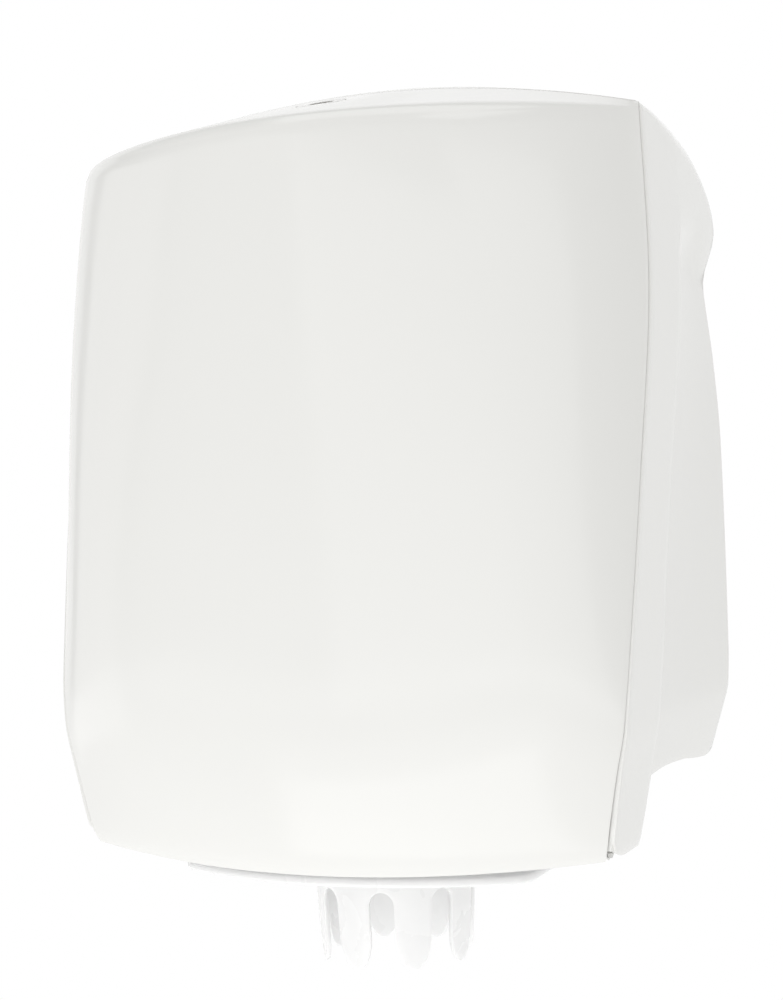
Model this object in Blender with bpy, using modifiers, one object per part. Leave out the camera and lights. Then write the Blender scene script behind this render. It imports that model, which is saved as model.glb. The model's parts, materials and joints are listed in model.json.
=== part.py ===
# Wall-mounted centrefeed roll dispenser.
# The wall is the plane y = 0, the front faces -Y, x runs to the right and z runs up.
# The origin is the middle of the flat back, on the wall.
# A back housing carries a roll tray with a turning finger nozzle under it.
# A drop-down front cover swings on two pins at its bottom corners and locks at the top.
import math

import bmesh
import bpy
from mathutils import Matrix, Vector

MM = 0.001

# Body
BODY_HALF_WIDTH = 152 * MM
BODY_REACH = 170 * MM
BODY_DEPTH = 217.5 * MM
EDGE_DEPTH_SHARE = 0.832
EDGE_DEPTH = BODY_DEPTH * EDGE_DEPTH_SHARE
REAR_TAPER = 5.5 * MM
REAR_HALF_WIDTH = BODY_HALF_WIDTH - REAR_TAPER
WALL = 2.6 * MM
CLEARANCE = 0.3 * MM
OVERRUN = 1.0 * MM

# Side edge of the front cover, as shares of the reach, the half width and the edge depth.
EDGE_SHARES = (
    (-1.00, 0.852, 0.955),
    (-0.97, 0.863, 0.970),
    (-0.91, 0.877, 0.982),
    (-0.82, 0.897, 0.990),
    (-0.74, 0.916, 0.996),
    (-0.66, 0.936, 0.998),
    (-0.57, 0.947, 0.992),
    (-0.50, 0.953, 0.982),
    (0.00, 0.979, 0.887),
    (0.50, 0.999, 0.799),
    (1.00, 0.967, 0.726),
)
# How far the side band stands outside the cover's edge near the hinge, as shares of BAND_FLARE.
BAND_FLARE = 1.8 * MM
BAND_FLARE_SHARES = ((-0.98, 1.0), (-0.90, 0.83), (-0.80, 0.57), (-0.68, 0.23), (-0.60, 0.08), (-0.50, 0.0))
# Rear edge of the side band, as shares of the reach and of the edge depth.
BAND_REAR_SHARES = (
    (-0.98, 0.745),
    (-0.84, 0.730),
    (-0.72, 0.715),
    (-0.55, 0.695),
    (-0.20, 0.640),
    (0.20, 0.557),
    (0.60, 0.474),
    (1.00, 0.398),
)
# Side wall where it meets the wall plane, as shares of the reach and of the rear half width.
REAR_SHARES = (
    (-0.86, 0.911),
    (-0.78, 0.941),
    (-0.70, 0.970),
    (-0.64, 0.989),
    (-0.44, 0.997),
    (0.12, 0.997),
    (0.35, 0.982),
    (0.48, 0.967),
    (0.565, 0.957),
    (0.60, 0.957),
    (0.67, 0.985),
    (0.72, 1.002),
    (0.78, 1.008),
    (0.90, 1.000),
)
# Middle of the cover's front, as shares of the reach and of the body depth.
FRONT_SHARES = (
    (-1.035, 0.906),
    (-1.01, 0.922),
    (-0.98, 0.935),
    (-0.93, 0.950),
    (-0.86, 0.967),
    (-0.76, 0.984),
    (-0.62, 0.996),
    (-0.35, 1.000),
    (0.60, 0.998),
    (1.00, 0.990),
)
# How square the cover's shoulders are, as shares of the reach and of the swell.
SHOULDER_SHARES = ((-1.00, 0.0), (-0.70, 0.20), (-0.40, 0.45), (0.0, 0.50), (0.50, 0.36), (0.94, 0.30), (1.00, 0.08))
SHOULDER_POWER = 8
LIP_RISE = 1.5 * MM
LIP_SAG = 7.1 * MM
TOP_EDGE_RISE = 6.0 * MM
TOP_EDGE_FILLET = 9.0 * MM
ROOF_SLOPE = math.radians(16.3)
ROOF_RISE = 20.5 * MM
ROOF_CREST_DEPTH = 60 * MM
REAR_ROUND_DEPTH = 45 * MM
REAR_ROUND_DROP = 25 * MM
REAR_ROOF_RISE = 27 * MM
EAR_ROUND = 26 * MM
CORNER_ROUND = 3.2 * MM
# Gap between the cover and the band, which widens down to the hinge.
PARTING_GAP = 0.8 * MM
PARTING_GAP_LOW = 2.4 * MM
GAP_SHARES = ((-0.95, 1.0), (-0.75, 0.5), (-0.55, 0.0))

# Scoop in the housing's sides, behind the band
SCOOP_DEPTH = 7.0 * MM
SCOOP_BOW = 1.5 * MM
SCOOP_TOP_SHARE = 0.70
SCOOP_FADE_SHARE = 0.16
SCOOP_ARCH_SHARE = 0.06
BAND_ROUND = 3.2 * MM
SIDE_BOTTOM_RISE = 32 * MM
SIDE_BOTTOM_DROP = 7.5 * MM
BAND_BOTTOM_RISE = 4.5 * MM
NOSE_RISE = 9.0 * MM
NOSE_START_SHARE = 0.45

# Mesh steps, and how much they crowd towards the ends
ROW_CROWD_SHARE = 0.06
COLUMN_CROWD_SHARE = 0.7
ROW_STEPS = 15
COLUMN_STEPS = 11
ROUND_STEPS = 4
CIRCLE_STEPS = 24
BIG_CIRCLE_STEPS = 48

# Hinge at the cover's bottom corners
HINGE_SET_BACK = 8.3 * MM
HINGE_RISE = 5.5 * MM
PIN_RADIUS = 1.9 * MM
PIN_HEAD_RADIUS = 3.4 * MM
PIN_HEAD_THICK = 1.2 * MM
EAR_LUG_INSET = 4.8 * MM
EAR_LUG_THICK = 4.4 * MM
COVER_LUG_THICK = 5.4 * MM
LUG_RADIUS = 4.4 * MM
HINGE_WASHER_RADIUS = 4.2 * MM
HINGE_WASHER_THICK = 1.0 * MM
BRIDGE_FRONT = 4.6 * MM
BRIDGE_REAR = 15 * MM
BRIDGE_LOW = 7.5 * MM
BRIDGE_HIGH = 17 * MM
COVER_LUG_HIGH = 11 * MM
COVER_LUG_LOW = 3.0 * MM

# Roll tray
TRAY_THICK = 2.5 * MM
TRAY_SIDE_GAP = 9 * MM
TRAY_FRONT_GAP = 11 * MM
TRAY_BOW = 24 * MM
TRAY_RISE = 35 * MM
TRAY_RIM = 9 * MM
TRAY_ROUND = 24 * MM
EDGE_ROUND = 1.6 * MM
WELL_INSET = 37.5 * MM
WELL_AHEAD = 77.5 * MM
WELL_BOW = 24 * MM
WELL_BEHIND = 72 * MM
WELL_ROUND = 9 * MM
WELL_DRAFT = 1.5 * MM
FLOOR_HOLE_GAP = 2.5 * MM
UPSTAND_MARGIN = 8 * MM
UPSTAND_HEIGHT = 46 * MM

# Bottom plate and nozzle
PLATE_BELOW = 12 * MM
PLATE_THICK = 4.0 * MM
NOZZLE_DEPTH_SHARE = 0.506
NOZZLE_TURN = math.radians(-54.9)
COLLAR_RADIUS = 39.2 * MM
NOZZLE_WALL = 2.0 * MM
NOZZLE_SLACK = 0.6 * MM
FLANGE_LIP = 5.0 * MM
FLANGE_THICK = 2.0 * MM
FINGERS = 8
COLLAR_BELOW = 11 * MM
FINGER_LENGTH = 38 * MM
TIP_RADIUS = 36.9 * MM
FINGER_HALF_WIDTH = 9.2 * MM
TIP_HALF_WIDTH = 8.8 * MM
SLOT_ARCH = 7.0 * MM
TIP_ROUND = 16.0 * MM
FINGER_COLUMN_STEPS = 4
RING_LAP = 2.0 * MM
RING_WIDTH = 9.5 * MM
RING_THICK = 2.0 * MM
RING_SCREWS = 3

# Screws
SCREW_RADIUS = 1.5 * MM
SCREW_HEAD_RADIUS = 2.8 * MM
SCREW_HEAD_THICK = 1.8 * MM
DRIVE_RADIUS = 1.2 * MM
DRIVE_DEPTH = 1.0 * MM
TRAY_SCREW_LENGTH = 9.0 * MM
TRAY_SCREW_INSET = 21 * MM
TRAY_SCREW_PITCH = 26 * MM
TRAY_SCREW_RISE = 34 * MM
PLATE_SCREW_LENGTH = 5.5 * MM
PLATE_SCREW_INSET = 22 * MM
PLATE_SCREW_AHEAD = 46 * MM
PLATE_SCREW_BEHIND = 50 * MM
RING_SCREW_LENGTH = 7.0 * MM
CATCH_SCREW_LENGTH = 6.4 * MM

# Back wall: screw bosses, keyholes and ribs
BOSS_RADIUS = 5.0 * MM
BOSS_HEIGHT = 6.4 * MM
KEYHOLE_HALF_SPAN = 92 * MM
KEYHOLE_HIGH = 88 * MM
KEYHOLE_LOW = 62 * MM
KEYHOLE_RADIUS = 5.0 * MM
KEYHOLE_SLOT_RADIUS = 2.6 * MM
KEYHOLE_RISE = 11 * MM
RIB_THICK = 2.0 * MM
RIB_HEIGHT = 4.0 * MM
RIB_HALF_SPAN = 46 * MM
RIB_END_GAP = 44 * MM

# Lock on the cover's roof
LOCK_FORWARD = 28.5 * MM
LOCK_FLANGE_RADIUS = 12 * MM
LOCK_FLANGE_THICK = 1.4 * MM
LOCK_BODY_RADIUS = 9.0 * MM
LOCK_BODY_LENGTH = 20 * MM
LOCK_PLUG_RADIUS = 6.0 * MM
PLUG_SINK = 1.2 * MM
LOCK_SEAT_RADIUS = 16 * MM
LOCK_SEAT_THICK = 5.0 * MM
LOCK_NUT_WIDTH = 24 * MM
LOCK_NUT_THICK = 4.0 * MM
KEY_SLOT_WIDTH = 1.4 * MM
KEY_SLOT_LENGTH = 7.0 * MM
KEY_SLOT_DEPTH = 6.0 * MM
CAM_THICK = 2.0 * MM
CAM_HUB_RADIUS = 6.5 * MM
CAM_HALF_WIDTH = 4.0 * MM
CAM_REACH = 32 * MM
CAM_FINGER_WIDTH = 3.1 * MM
CAM_FINGER_ANGLE = math.radians(32)
CAM_SCREW_LENGTH = 9.0 * MM
CATCH_THICK = 2.0 * MM
CATCH_NEAR = 23 * MM
CATCH_FAR = 50 * MM
CATCH_HALF_WIDTH = 16 * MM
CATCH_DROP = 8.0 * MM
CATCH_TAB_INNER = 5 * MM
CATCH_TAB_OUTER = 13 * MM
CATCH_TAB_DROP = 27 * MM
CATCH_BOSS_RADIUS = 4.2 * MM
CATCH_BOSS_TOP = 1.0 * MM
CATCH_SCREW_SPREAD = 9 * MM
CATCH_SCREW_REACH = 43 * MM

WHITE = (0.83, 0.84, 0.82, 1.0)
GREY = (0.55, 0.56, 0.57, 1.0)
STEEL = (0.62, 0.63, 0.64, 1.0)


# Small helpers
def lerp(start, end, share):
    return start + (end - start) * share


def smooth(share):
    share = min(1.0, max(0.0, share))
    return share * share * (3.0 - 2.0 * share)


def follow(table, key, column=1):
    """Value of a table at a key, on a smooth curve through its rows."""
    keys = [row[0] for row in table]
    values = [row[column] for row in table]
    if key <= keys[0]:
        return values[0]
    if key >= keys[-1]:
        return values[-1]
    last = len(keys) - 1
    slopes = []
    for i in range(last + 1):
        low, high = max(0, i - 1), min(last, i + 1)
        slopes.append((values[high] - values[low]) / (keys[high] - keys[low]))
    i = next(i for i in range(last) if key <= keys[i + 1])
    span = keys[i + 1] - keys[i]
    s = (key - keys[i]) / span
    return (
        values[i] * (2 * s**3 - 3 * s**2 + 1)
        + slopes[i] * span * (s**3 - 2 * s**2 + s)
        + values[i + 1] * (3 * s**2 - 2 * s**3)
        + slopes[i + 1] * span * (s**3 - s**2)
    )


def make_material(name, colour, roughness, metallic=0.0):
    material = bpy.data.materials.new(name)
    material.use_nodes = True
    shader = material.node_tree.nodes["Principled BSDF"]
    shader.inputs["Base Color"].default_value = colour
    shader.inputs["Roughness"].default_value = roughness
    shader.inputs["Metallic"].default_value = metallic
    return material


def add_object(name, mesh, collection, parent=None):
    thing = bpy.data.objects.new(name, mesh)
    collection.objects.link(thing)
    if parent is not None:
        thing.parent = parent
    return thing


def finish_part(thing, material, angle=math.radians(32)):
    thing.data.materials.clear()
    thing.data.materials.append(material)
    thing.data.shade_smooth()
    thing.data.set_sharp_from_angle(angle=angle)
    return thing


def move_origin(thing, point):
    """Put an object's origin on a point without moving its shape."""
    thing.data.transform(Matrix.Translation(-Vector(point)))
    thing.location = point


def mesh_from(name, shape):
    mesh = bpy.data.meshes.new(name)
    shape.to_mesh(mesh)
    shape.free()
    return mesh


def cylinder_mesh(name, radius, low, high, steps=CIRCLE_STEPS, matrix=None):
    """Closed cylinder along z from low to high, then placed by a matrix."""
    shape = bmesh.new()
    place = Matrix.Translation((0, 0, (low + high) / 2))
    bmesh.ops.create_cone(
        shape, cap_ends=True, segments=steps, radius1=radius, radius2=radius, depth=high - low, matrix=place
    )
    if matrix is not None:
        bmesh.ops.transform(shape, matrix=matrix, verts=shape.verts)
    return mesh_from(name, shape)


def box_mesh(name, low, high, matrix=None):
    shape = bmesh.new()
    size = [b - a for a, b in zip(low, high)]
    middle = [(a + b) / 2 for a, b in zip(low, high)]
    place = Matrix.Translation(middle) @ Matrix.Diagonal((*size, 1.0))
    bmesh.ops.create_cube(shape, size=1.0, matrix=place)
    if matrix is not None:
        bmesh.ops.transform(shape, matrix=matrix, verts=shape.verts)
    return mesh_from(name, shape)


def prism_mesh(name, outline, low, high, matrix=None):
    """Closed flat outline in x and y, drawn anticlockwise and raised along z."""
    shape = bmesh.new()
    corners = [shape.verts.new((x, y, low)) for x, y in outline]
    floor = shape.faces.new(corners)
    grown = bmesh.ops.extrude_face_region(shape, geom=[floor])["geom"]
    lifted = [item for item in grown if isinstance(item, bmesh.types.BMVert)]
    bmesh.ops.translate(shape, verts=lifted, vec=(0, 0, high - low))
    bmesh.ops.recalc_face_normals(shape, faces=shape.faces)
    if matrix is not None:
        bmesh.ops.transform(shape, matrix=matrix, verts=shape.verts)
    return mesh_from(name, shape)


def turned_object(name, profile, steps, collection, parent=None):
    """Closed turned shape: the profile runs down the outer side first."""
    mesh = bpy.data.meshes.new(name)
    edges = [(i, (i + 1) % len(profile)) for i in range(len(profile))]
    mesh.from_pydata([(x, 0, z) for x, z in profile], edges, [])
    thing = add_object(name, mesh, collection, parent)
    screw = thing.modifiers.new("turn", "SCREW")
    screw.steps = steps
    screw.render_steps = steps
    screw.merge_threshold = 0.00001
    screw.use_merge_vertices = True
    return thing


def as_mesh(thing, collection):
    """Replace an object by its evaluated mesh, so that it can be cut or joined."""
    evaluated = thing.evaluated_get(bpy.context.evaluated_depsgraph_get())
    mesh = bpy.data.meshes.new_from_object(evaluated)
    name, place, parent = thing.name, thing.matrix_local.copy(), thing.parent
    bpy.data.objects.remove(thing)
    plain = add_object(name, mesh, collection, parent)
    plain.matrix_local = place
    return plain


def combine(target, mesh, operation, parent=None):
    """Join a mesh to an object or cut it out of the object."""
    helper = add_object(mesh.name, mesh, CUTTERS, parent)
    helper.hide_render = True
    helper.display_type = "WIRE"
    step = target.modifiers.new(mesh.name, "BOOLEAN")
    step.operation = operation
    step.solver = "EXACT"
    step.object = helper
    return helper


def join(target, mesh, parent=None):
    return combine(target, mesh, "UNION", parent)


def cut(target, mesh, parent=None):
    return combine(target, mesh, "DIFFERENCE", parent)


# Levels and spans that follow from the sizes above
HINGE_DROP = BODY_REACH - HINGE_RISE
SIDE_BOTTOM = BODY_REACH - SIDE_BOTTOM_RISE
BAND_BOTTOM = BODY_REACH - BAND_BOTTOM_RISE
TRAY_DROP = BODY_REACH - TRAY_RISE
TRAY_SCREW_DROP = TRAY_DROP - TRAY_SCREW_RISE
PLATE_BOTTOM = BODY_REACH + PLATE_BELOW
FINGER_ROOT = PLATE_BOTTOM + COLLAR_BELOW
FINGER_TIP = FINGER_ROOT + FINGER_LENGTH
SCREW_HOLE = SCREW_RADIUS + CLEARANCE
TRAY_BACK = WALL + BOSS_HEIGHT + CLEARANCE
NOZZLE_DEPTH = BODY_DEPTH * NOZZLE_DEPTH_SHARE
PLATE_TOP = PLATE_THICK - PLATE_BOTTOM
WELL_FLOOR = PLATE_TOP + CLEARANCE
FLANGE_RADIUS = COLLAR_RADIUS + FLANGE_LIP
RING_INNER = COLLAR_RADIUS + RING_LAP
RING_OUTER = RING_INNER + RING_WIDTH
RING_STEP = FLANGE_RADIUS + NOZZLE_SLACK
RING_SCREW_RADIUS = (RING_STEP + RING_OUTER) / 2

# Places that turn a flat outline: raised along -y, and along x
ALONG_Y = Matrix.Rotation(math.radians(90), 4, "X")
ACROSS = Matrix(((0, 0, 1, 0), (1, 0, 0, 0), (0, 1, 0, 0), (0, 0, 0, 1)))


# Form of the body
def edge_half_width(z):
    return BODY_HALF_WIDTH * follow(EDGE_SHARES, z / BODY_REACH, 1)


def edge_depth(z):
    return EDGE_DEPTH * follow(EDGE_SHARES, z / BODY_REACH, 2)


def band_half_width(z):
    return edge_half_width(z) + BAND_FLARE * follow(BAND_FLARE_SHARES, z / BODY_REACH)


def band_rear_depth(z):
    return EDGE_DEPTH * follow(BAND_REAR_SHARES, z / BODY_REACH)


def rear_half_width(z):
    return REAR_HALF_WIDTH * follow(REAR_SHARES, z / BODY_REACH)


def front_depth(z):
    return BODY_DEPTH * follow(FRONT_SHARES, z / BODY_REACH)


def bow(share, z):
    """Forward swell of the cover across its width, one in the middle and nothing at the edge."""
    square = follow(SHOULDER_SHARES, z / BODY_REACH)
    return 1.0 - (1.0 - square) * share**2 - square * share**SHOULDER_POWER


TOP_DEPTH = edge_depth(BODY_REACH)


def roof_middle(depth):
    """Height of the roof's middle line over the wall at a depth from the wall."""
    if depth >= TOP_DEPTH:
        return BODY_REACH + ROOF_RISE - (depth - TOP_DEPTH) * math.tan(ROOF_SLOPE)
    run = TOP_DEPTH - ROOF_CREST_DEPTH
    climbed = min(run, TOP_DEPTH - depth)
    swell = math.tan(ROOF_SLOPE) * (climbed - climbed**2 / (2 * run))
    return BODY_REACH + ROOF_RISE + swell


def rear_drop(depth):
    """How far the top falls where it rounds down to the wall."""
    if depth >= REAR_ROUND_DEPTH:
        return 0.0
    share = 1.0 - depth / REAR_ROUND_DEPTH
    return REAR_ROUND_DROP * (1.0 - math.sqrt(max(0.0, 1.0 - share**2)))


def scoop(z, share):
    """Depth of the side scoop at a height, where share runs from the wall to the band."""
    top = SCOOP_TOP_SHARE + SCOOP_ARCH_SHARE * math.sin(math.pi * share)
    window = smooth((top - z / BODY_REACH) / SCOOP_FADE_SHARE)
    return window * (SCOOP_DEPTH * share + SCOOP_BOW * math.sin(math.pi * share))


# Places along the depth, as shares from the wall to the band and across the band
SIDE_DEPTH_SHARES = (0.0, 0.03, 0.10, 0.22, 0.42, 0.70, 1.0)
BAND_SHARES = (0.0, 0.34, 0.67, 1.0)
ROUND_ANGLES = (0.0, 30.0, 60.0, 90.0)


def housing_rows():
    """Rows from the wall forward: kind and place of each."""
    rows = [("side", share) for share in SIDE_DEPTH_SHARES]
    rows += [("round", math.radians(angle)) for angle in ROUND_ANGLES]
    rows += [("band", share) for share in BAND_SHARES[1:]]
    return rows


def side_point(kind, place, z):
    """Half width and depth of the housing's side at a height."""
    height = min(z, BODY_REACH)
    rear = band_rear_depth(height)
    wide = band_half_width(height)
    if kind == "side":
        half = lerp(rear_half_width(height), wide, place) - scoop(height, place)
        return half, rear * place
    sunk = scoop(height, 1.0)
    bend = min(BAND_ROUND, sunk)
    if kind == "round":
        half = wide - bend * (1.0 - math.sin(place))
        return half, rear + OVERRUN / 2 + BAND_ROUND * (1.0 - math.cos(place))
    start = rear + OVERRUN / 2 + BAND_ROUND
    return wide, lerp(start, edge_depth(height), place)


def side_bottom(depth_share):
    return -SIDE_BOTTOM - SIDE_BOTTOM_DROP * (1.0 - smooth(depth_share * 1.4))


def band_bottom(place):
    share = max(0.0, (place - NOSE_START_SHARE) / (1.0 - NOSE_START_SHARE))
    return -BAND_BOTTOM + NOSE_RISE * (1.0 - math.sqrt(1.0 - share**2))


SIDE_STEPS = 17
TONGUE_STEPS = 4
CORNER_STEPS = 4
ROOF_STEPS = 7


def housing_column_points(kind, place):
    """Points of one row, from the lowest point up the side and over to the roof's middle."""
    top_half, depth = side_point(kind, place, BODY_REACH)
    corner = BODY_REACH - rear_drop(depth)
    around = lerp(EAR_ROUND, CORNER_ROUND, smooth(depth / TOP_DEPTH))
    points = []
    if kind == "side":
        low = side_bottom(place)
    else:
        low = -SIDE_BOTTOM
        reach = place if kind == "band" else 0.0
        for step in range(TONGUE_STEPS):
            z = lerp(band_bottom(reach), low, step / TONGUE_STEPS)
            half, y = side_point(kind, place, z)
            points.append((half, -y, z))
    for step in range(SIDE_STEPS):
        z = lerp(low, corner - around, step / SIDE_STEPS)
        half, y = side_point(kind, place, z)
        points.append((half, -y, z))
    half, y = side_point(kind, place, corner - around)
    middle = roof_middle(depth) - BODY_REACH
    rise = lerp(REAR_ROOF_RISE, middle, smooth(depth / REAR_ROUND_DEPTH))
    for step in range(CORNER_STEPS + 1):
        angle = math.radians(90) * step / CORNER_STEPS
        x = half - around * (1.0 - math.cos(angle))
        z = corner - around * (1.0 - math.sin(angle))
        z += rise * (1.0 - (x / half) ** 2) * math.sin(angle)
        _, y = side_point(kind, place, z)
        points.append((x, -y, z))
    start = half - around
    for step in range(1, ROOF_STEPS + 1):
        x = lerp(start, 0.0, step / ROOF_STEPS)
        z = corner + rise * (1.0 - (x / half) ** 2)
        _, y = side_point(kind, place, z)
        points.append((x, -y, z))
    return points


def housing_shell_mesh():
    shape = bmesh.new()
    rows = []
    for kind, place in housing_rows():
        row = [shape.verts.new(point) for point in housing_column_points(kind, place)]
        if kind == "side":
            row = [None] * TONGUE_STEPS + row
        rows.append(row)
    for back, front in zip(rows, rows[1:]):
        for j in range(len(back) - 1):
            corners = (back[j], back[j + 1], front[j + 1], front[j])
            if None not in corners:
                shape.faces.new(corners)
    rim = [vert for vert in rows[0] if vert is not None]
    foot = shape.verts.new((0, 0, rim[0].co.z))
    shape.faces.new([*reversed(rim), foot])
    return mesh_from("back_housing", shape)


def cover_rows():
    """Rows of the cover from the lip up the front and back over the roof.
    Each gives the side end's height and depth and the middle's depth and height."""
    rows = []
    side_low, side_high = LIP_RISE - BODY_REACH, BODY_REACH - TOP_EDGE_RISE
    turn = math.radians(90) - ROOF_SLOPE
    top_front = front_depth(BODY_REACH)
    arc_end_depth = top_front - TOP_EDGE_FILLET * (1.0 - math.cos(turn))
    arc_start = roof_middle(arc_end_depth) - TOP_EDGE_FILLET * math.sin(turn)
    for step in range(ROW_STEPS + 1):
        share = step / ROW_STEPS
        share -= ROW_CROWD_SHARE * math.sin(2 * math.pi * share)
        middle = lerp(side_low - LIP_SAG, arc_start, share)
        rows.append((lerp(side_low, side_high, share), front_depth(middle), middle))
    rear_depth = TOP_DEPTH + cover_edge_gap(BODY_REACH) - OVERRUN
    for step in range(1, ROUND_STEPS + 1):
        angle = turn * step / ROUND_STEPS
        depth = top_front - TOP_EDGE_FILLET * (1.0 - math.cos(angle))
        height = arc_start + TOP_EDGE_FILLET * math.sin(angle)
        side = lerp(side_high, BODY_REACH, step / ROUND_STEPS / 2)
        rows.append((side, depth, height))
    for step in range(1, ROUND_STEPS + 1):
        share = step / ROUND_STEPS
        depth = lerp(arc_end_depth, rear_depth, share)
        side = lerp(side_high, BODY_REACH, (1 + share) / 2)
        rows.append((side, depth, roof_middle(depth)))
    return rows


def cover_edge_gap(z):
    return lerp(PARTING_GAP, PARTING_GAP_LOW, follow(GAP_SHARES, z / BODY_REACH))


def cover_point(row, share):
    side, depth, middle = row
    edge = edge_depth(side) + cover_edge_gap(side) - CLEARANCE
    x = edge_half_width(side) * share
    y = edge + (depth - edge) * bow(share, side)
    z = side + (middle - side) * (1.0 - share**2)
    return x, -y, z


def cover_shell_mesh():
    """Half of the cover's skin; its last column runs straight back, past the parting line."""
    shape = bmesh.new()
    grid = []
    for row in cover_rows():
        line = []
        for step in range(COLUMN_STEPS + 1):
            u = step / COLUMN_STEPS
            line.append(shape.verts.new(cover_point(row, lerp(u, u * (3 - u**2) / 2, COLUMN_CROWD_SHARE))))
        line.append(shape.verts.new(line[-1].co + Vector((0, 2 * WALL, 0))))
        grid.append(line)
    for low, high in zip(grid, grid[1:]):
        for k in range(COLUMN_STEPS + 1):
            shape.faces.new((low[k], low[k + 1], high[k + 1], high[k]))
    return mesh_from("front_cover", shape)


def parting_block_mesh():
    """Everything behind the parting line, which the cover stays in front of."""
    outline = [(0, -BODY_DEPTH), (-EDGE_DEPTH, -BODY_DEPTH)]
    for step in range(2 * ROW_STEPS + 1):
        z = lerp(-BODY_REACH, BODY_REACH, step / (2 * ROW_STEPS))
        outline.append((-edge_depth(z) - cover_edge_gap(z), z))
    outline += [(outline[-1][0], BODY_DEPTH), (0, BODY_DEPTH)]
    return prism_mesh("parting_block", outline, -BODY_DEPTH, BODY_DEPTH, ACROSS)


def make_shell(name, mesh, material):
    """Mirror a half surface and give it the body's wall thickness."""
    thing = add_object(name, mesh, PARTS)
    finish_part(thing, material)
    mirror = thing.modifiers.new("both sides", "MIRROR")
    mirror.merge_threshold = 0.00001
    mirror.use_clip = True
    shell = thing.modifiers.new("wall", "SOLIDIFY")
    shell.thickness = WALL
    shell.offset = -1.0
    shell.use_even_offset = True
    return thing


# Rounded outlines of the tray, its well and the bottom plate
FRONT_STEPS = 7
BEND_STEPS = 4
FLANK_STEPS = 6
REAR_STEPS = 4


def curve_corner(start, corner, end):
    """Points that round a corner, without its last point."""
    points = []
    for step in range(BEND_STEPS):
        s = step / BEND_STEPS
        weights = ((1 - s) ** 2, 2 * s * (1 - s), s**2)
        trio = (start, corner, end)
        points.append(tuple(sum(w * p[k] for w, p in zip(weights, trio)) for k in range(2)))
    return points


def straight(start, end, count):
    return [tuple(lerp(start[k], end[k], step / count) for k in range(2)) for step in range(count)]


def bowed_outline(half_width, front, rear, swell, round_off, inset=0.0):
    """Anticlockwise outline from the front middle round to the right, with a bowed front."""
    wide = half_width - inset
    bend = round_off - inset / 2

    def front_line(x):
        return -(front - inset) + swell * (x / half_width) ** 2

    back = -(rear + inset)
    right = []
    for step in range(FRONT_STEPS):
        x = lerp(0.0, wide - bend, step / FRONT_STEPS)
        right.append((x, front_line(x)))
    side_front = front_line(wide) + bend
    right += curve_corner((wide - bend, front_line(wide - bend)), (wide, front_line(wide)), (wide, side_front))
    right += straight((wide, side_front), (wide, back - bend), FLANK_STEPS)
    right += curve_corner((wide, back - bend), (wide, back), (wide - bend, back))
    right += straight((wide - bend, back), (0.0, back), REAR_STEPS)
    left = [(-x, y) for x, y in reversed(right[1:])]
    return right + [(0.0, back)] + left


def circle_towards(outline, centre_y, radius):
    """A circle's points, each in the direction of the outline's point of the same place."""
    points = []
    for x, y in outline:
        length = math.hypot(x, y - centre_y)
        points.append((radius * x / length, centre_y + radius * (y - centre_y) / length))
    return points


def loft_mesh(name, loops, closed):
    """Skin through loops of equal length; closed joins the last loop to the first."""
    shape = bmesh.new()
    rings = [[shape.verts.new(point) for point in loop] for loop in loops]
    pairs = list(zip(rings, rings[1:]))
    if closed:
        pairs.append((rings[-1], rings[0]))
    for upper, lower in pairs:
        count = len(upper)
        for k in range(count):
            after = (k + 1) % count
            shape.faces.new((upper[k], lower[k], lower[after], upper[after]))
    return mesh_from(name, shape)


def at_height(outline, z):
    return [(x, y, z) for x, y in outline]


# Screws and cylinders between the parts
def pointing(axis, place):
    """Place that turns +z to an axis and moves the origin to a point."""
    return Matrix.Translation(place) @ Vector((0, 0, 1)).rotation_difference(Vector(axis)).to_matrix().to_4x4()


def make_screw(name, place, axis, length, material, parent=None):
    """Pan head screw: the axis points from the tip to the head, and place is under the head."""
    profile = [
        (0, SCREW_HEAD_THICK),
        (SCREW_HEAD_RADIUS * 0.7, SCREW_HEAD_THICK),
        (SCREW_HEAD_RADIUS, SCREW_HEAD_THICK * 0.4),
        (SCREW_HEAD_RADIUS, 0),
        (SCREW_RADIUS, 0),
        (SCREW_RADIUS, SCREW_RADIUS - length),
        (0, -length),
    ]
    screw = turned_object(name, profile, CIRCLE_STEPS // 2, PARTS, parent)
    screw = as_mesh(screw, PARTS)
    screw.matrix_local = pointing(axis, place)
    finish_part(screw, material)
    top, floor = SCREW_HEAD_THICK + OVERRUN, SCREW_HEAD_THICK - DRIVE_DEPTH
    drive = cylinder_mesh(name + "_drive", DRIVE_RADIUS, floor, top, 6)
    cut(screw, drive, parent).matrix_local = pointing(axis, place)
    return screw


def hole(target, name, radius, place, axis, depth, parent=None):
    """Round hole that starts OVERRUN above a place and runs a depth against the axis."""
    mesh = cylinder_mesh(name, radius, -depth, OVERRUN, CIRCLE_STEPS // 2)
    cut(target, mesh, parent).matrix_local = pointing(axis, place)


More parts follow.
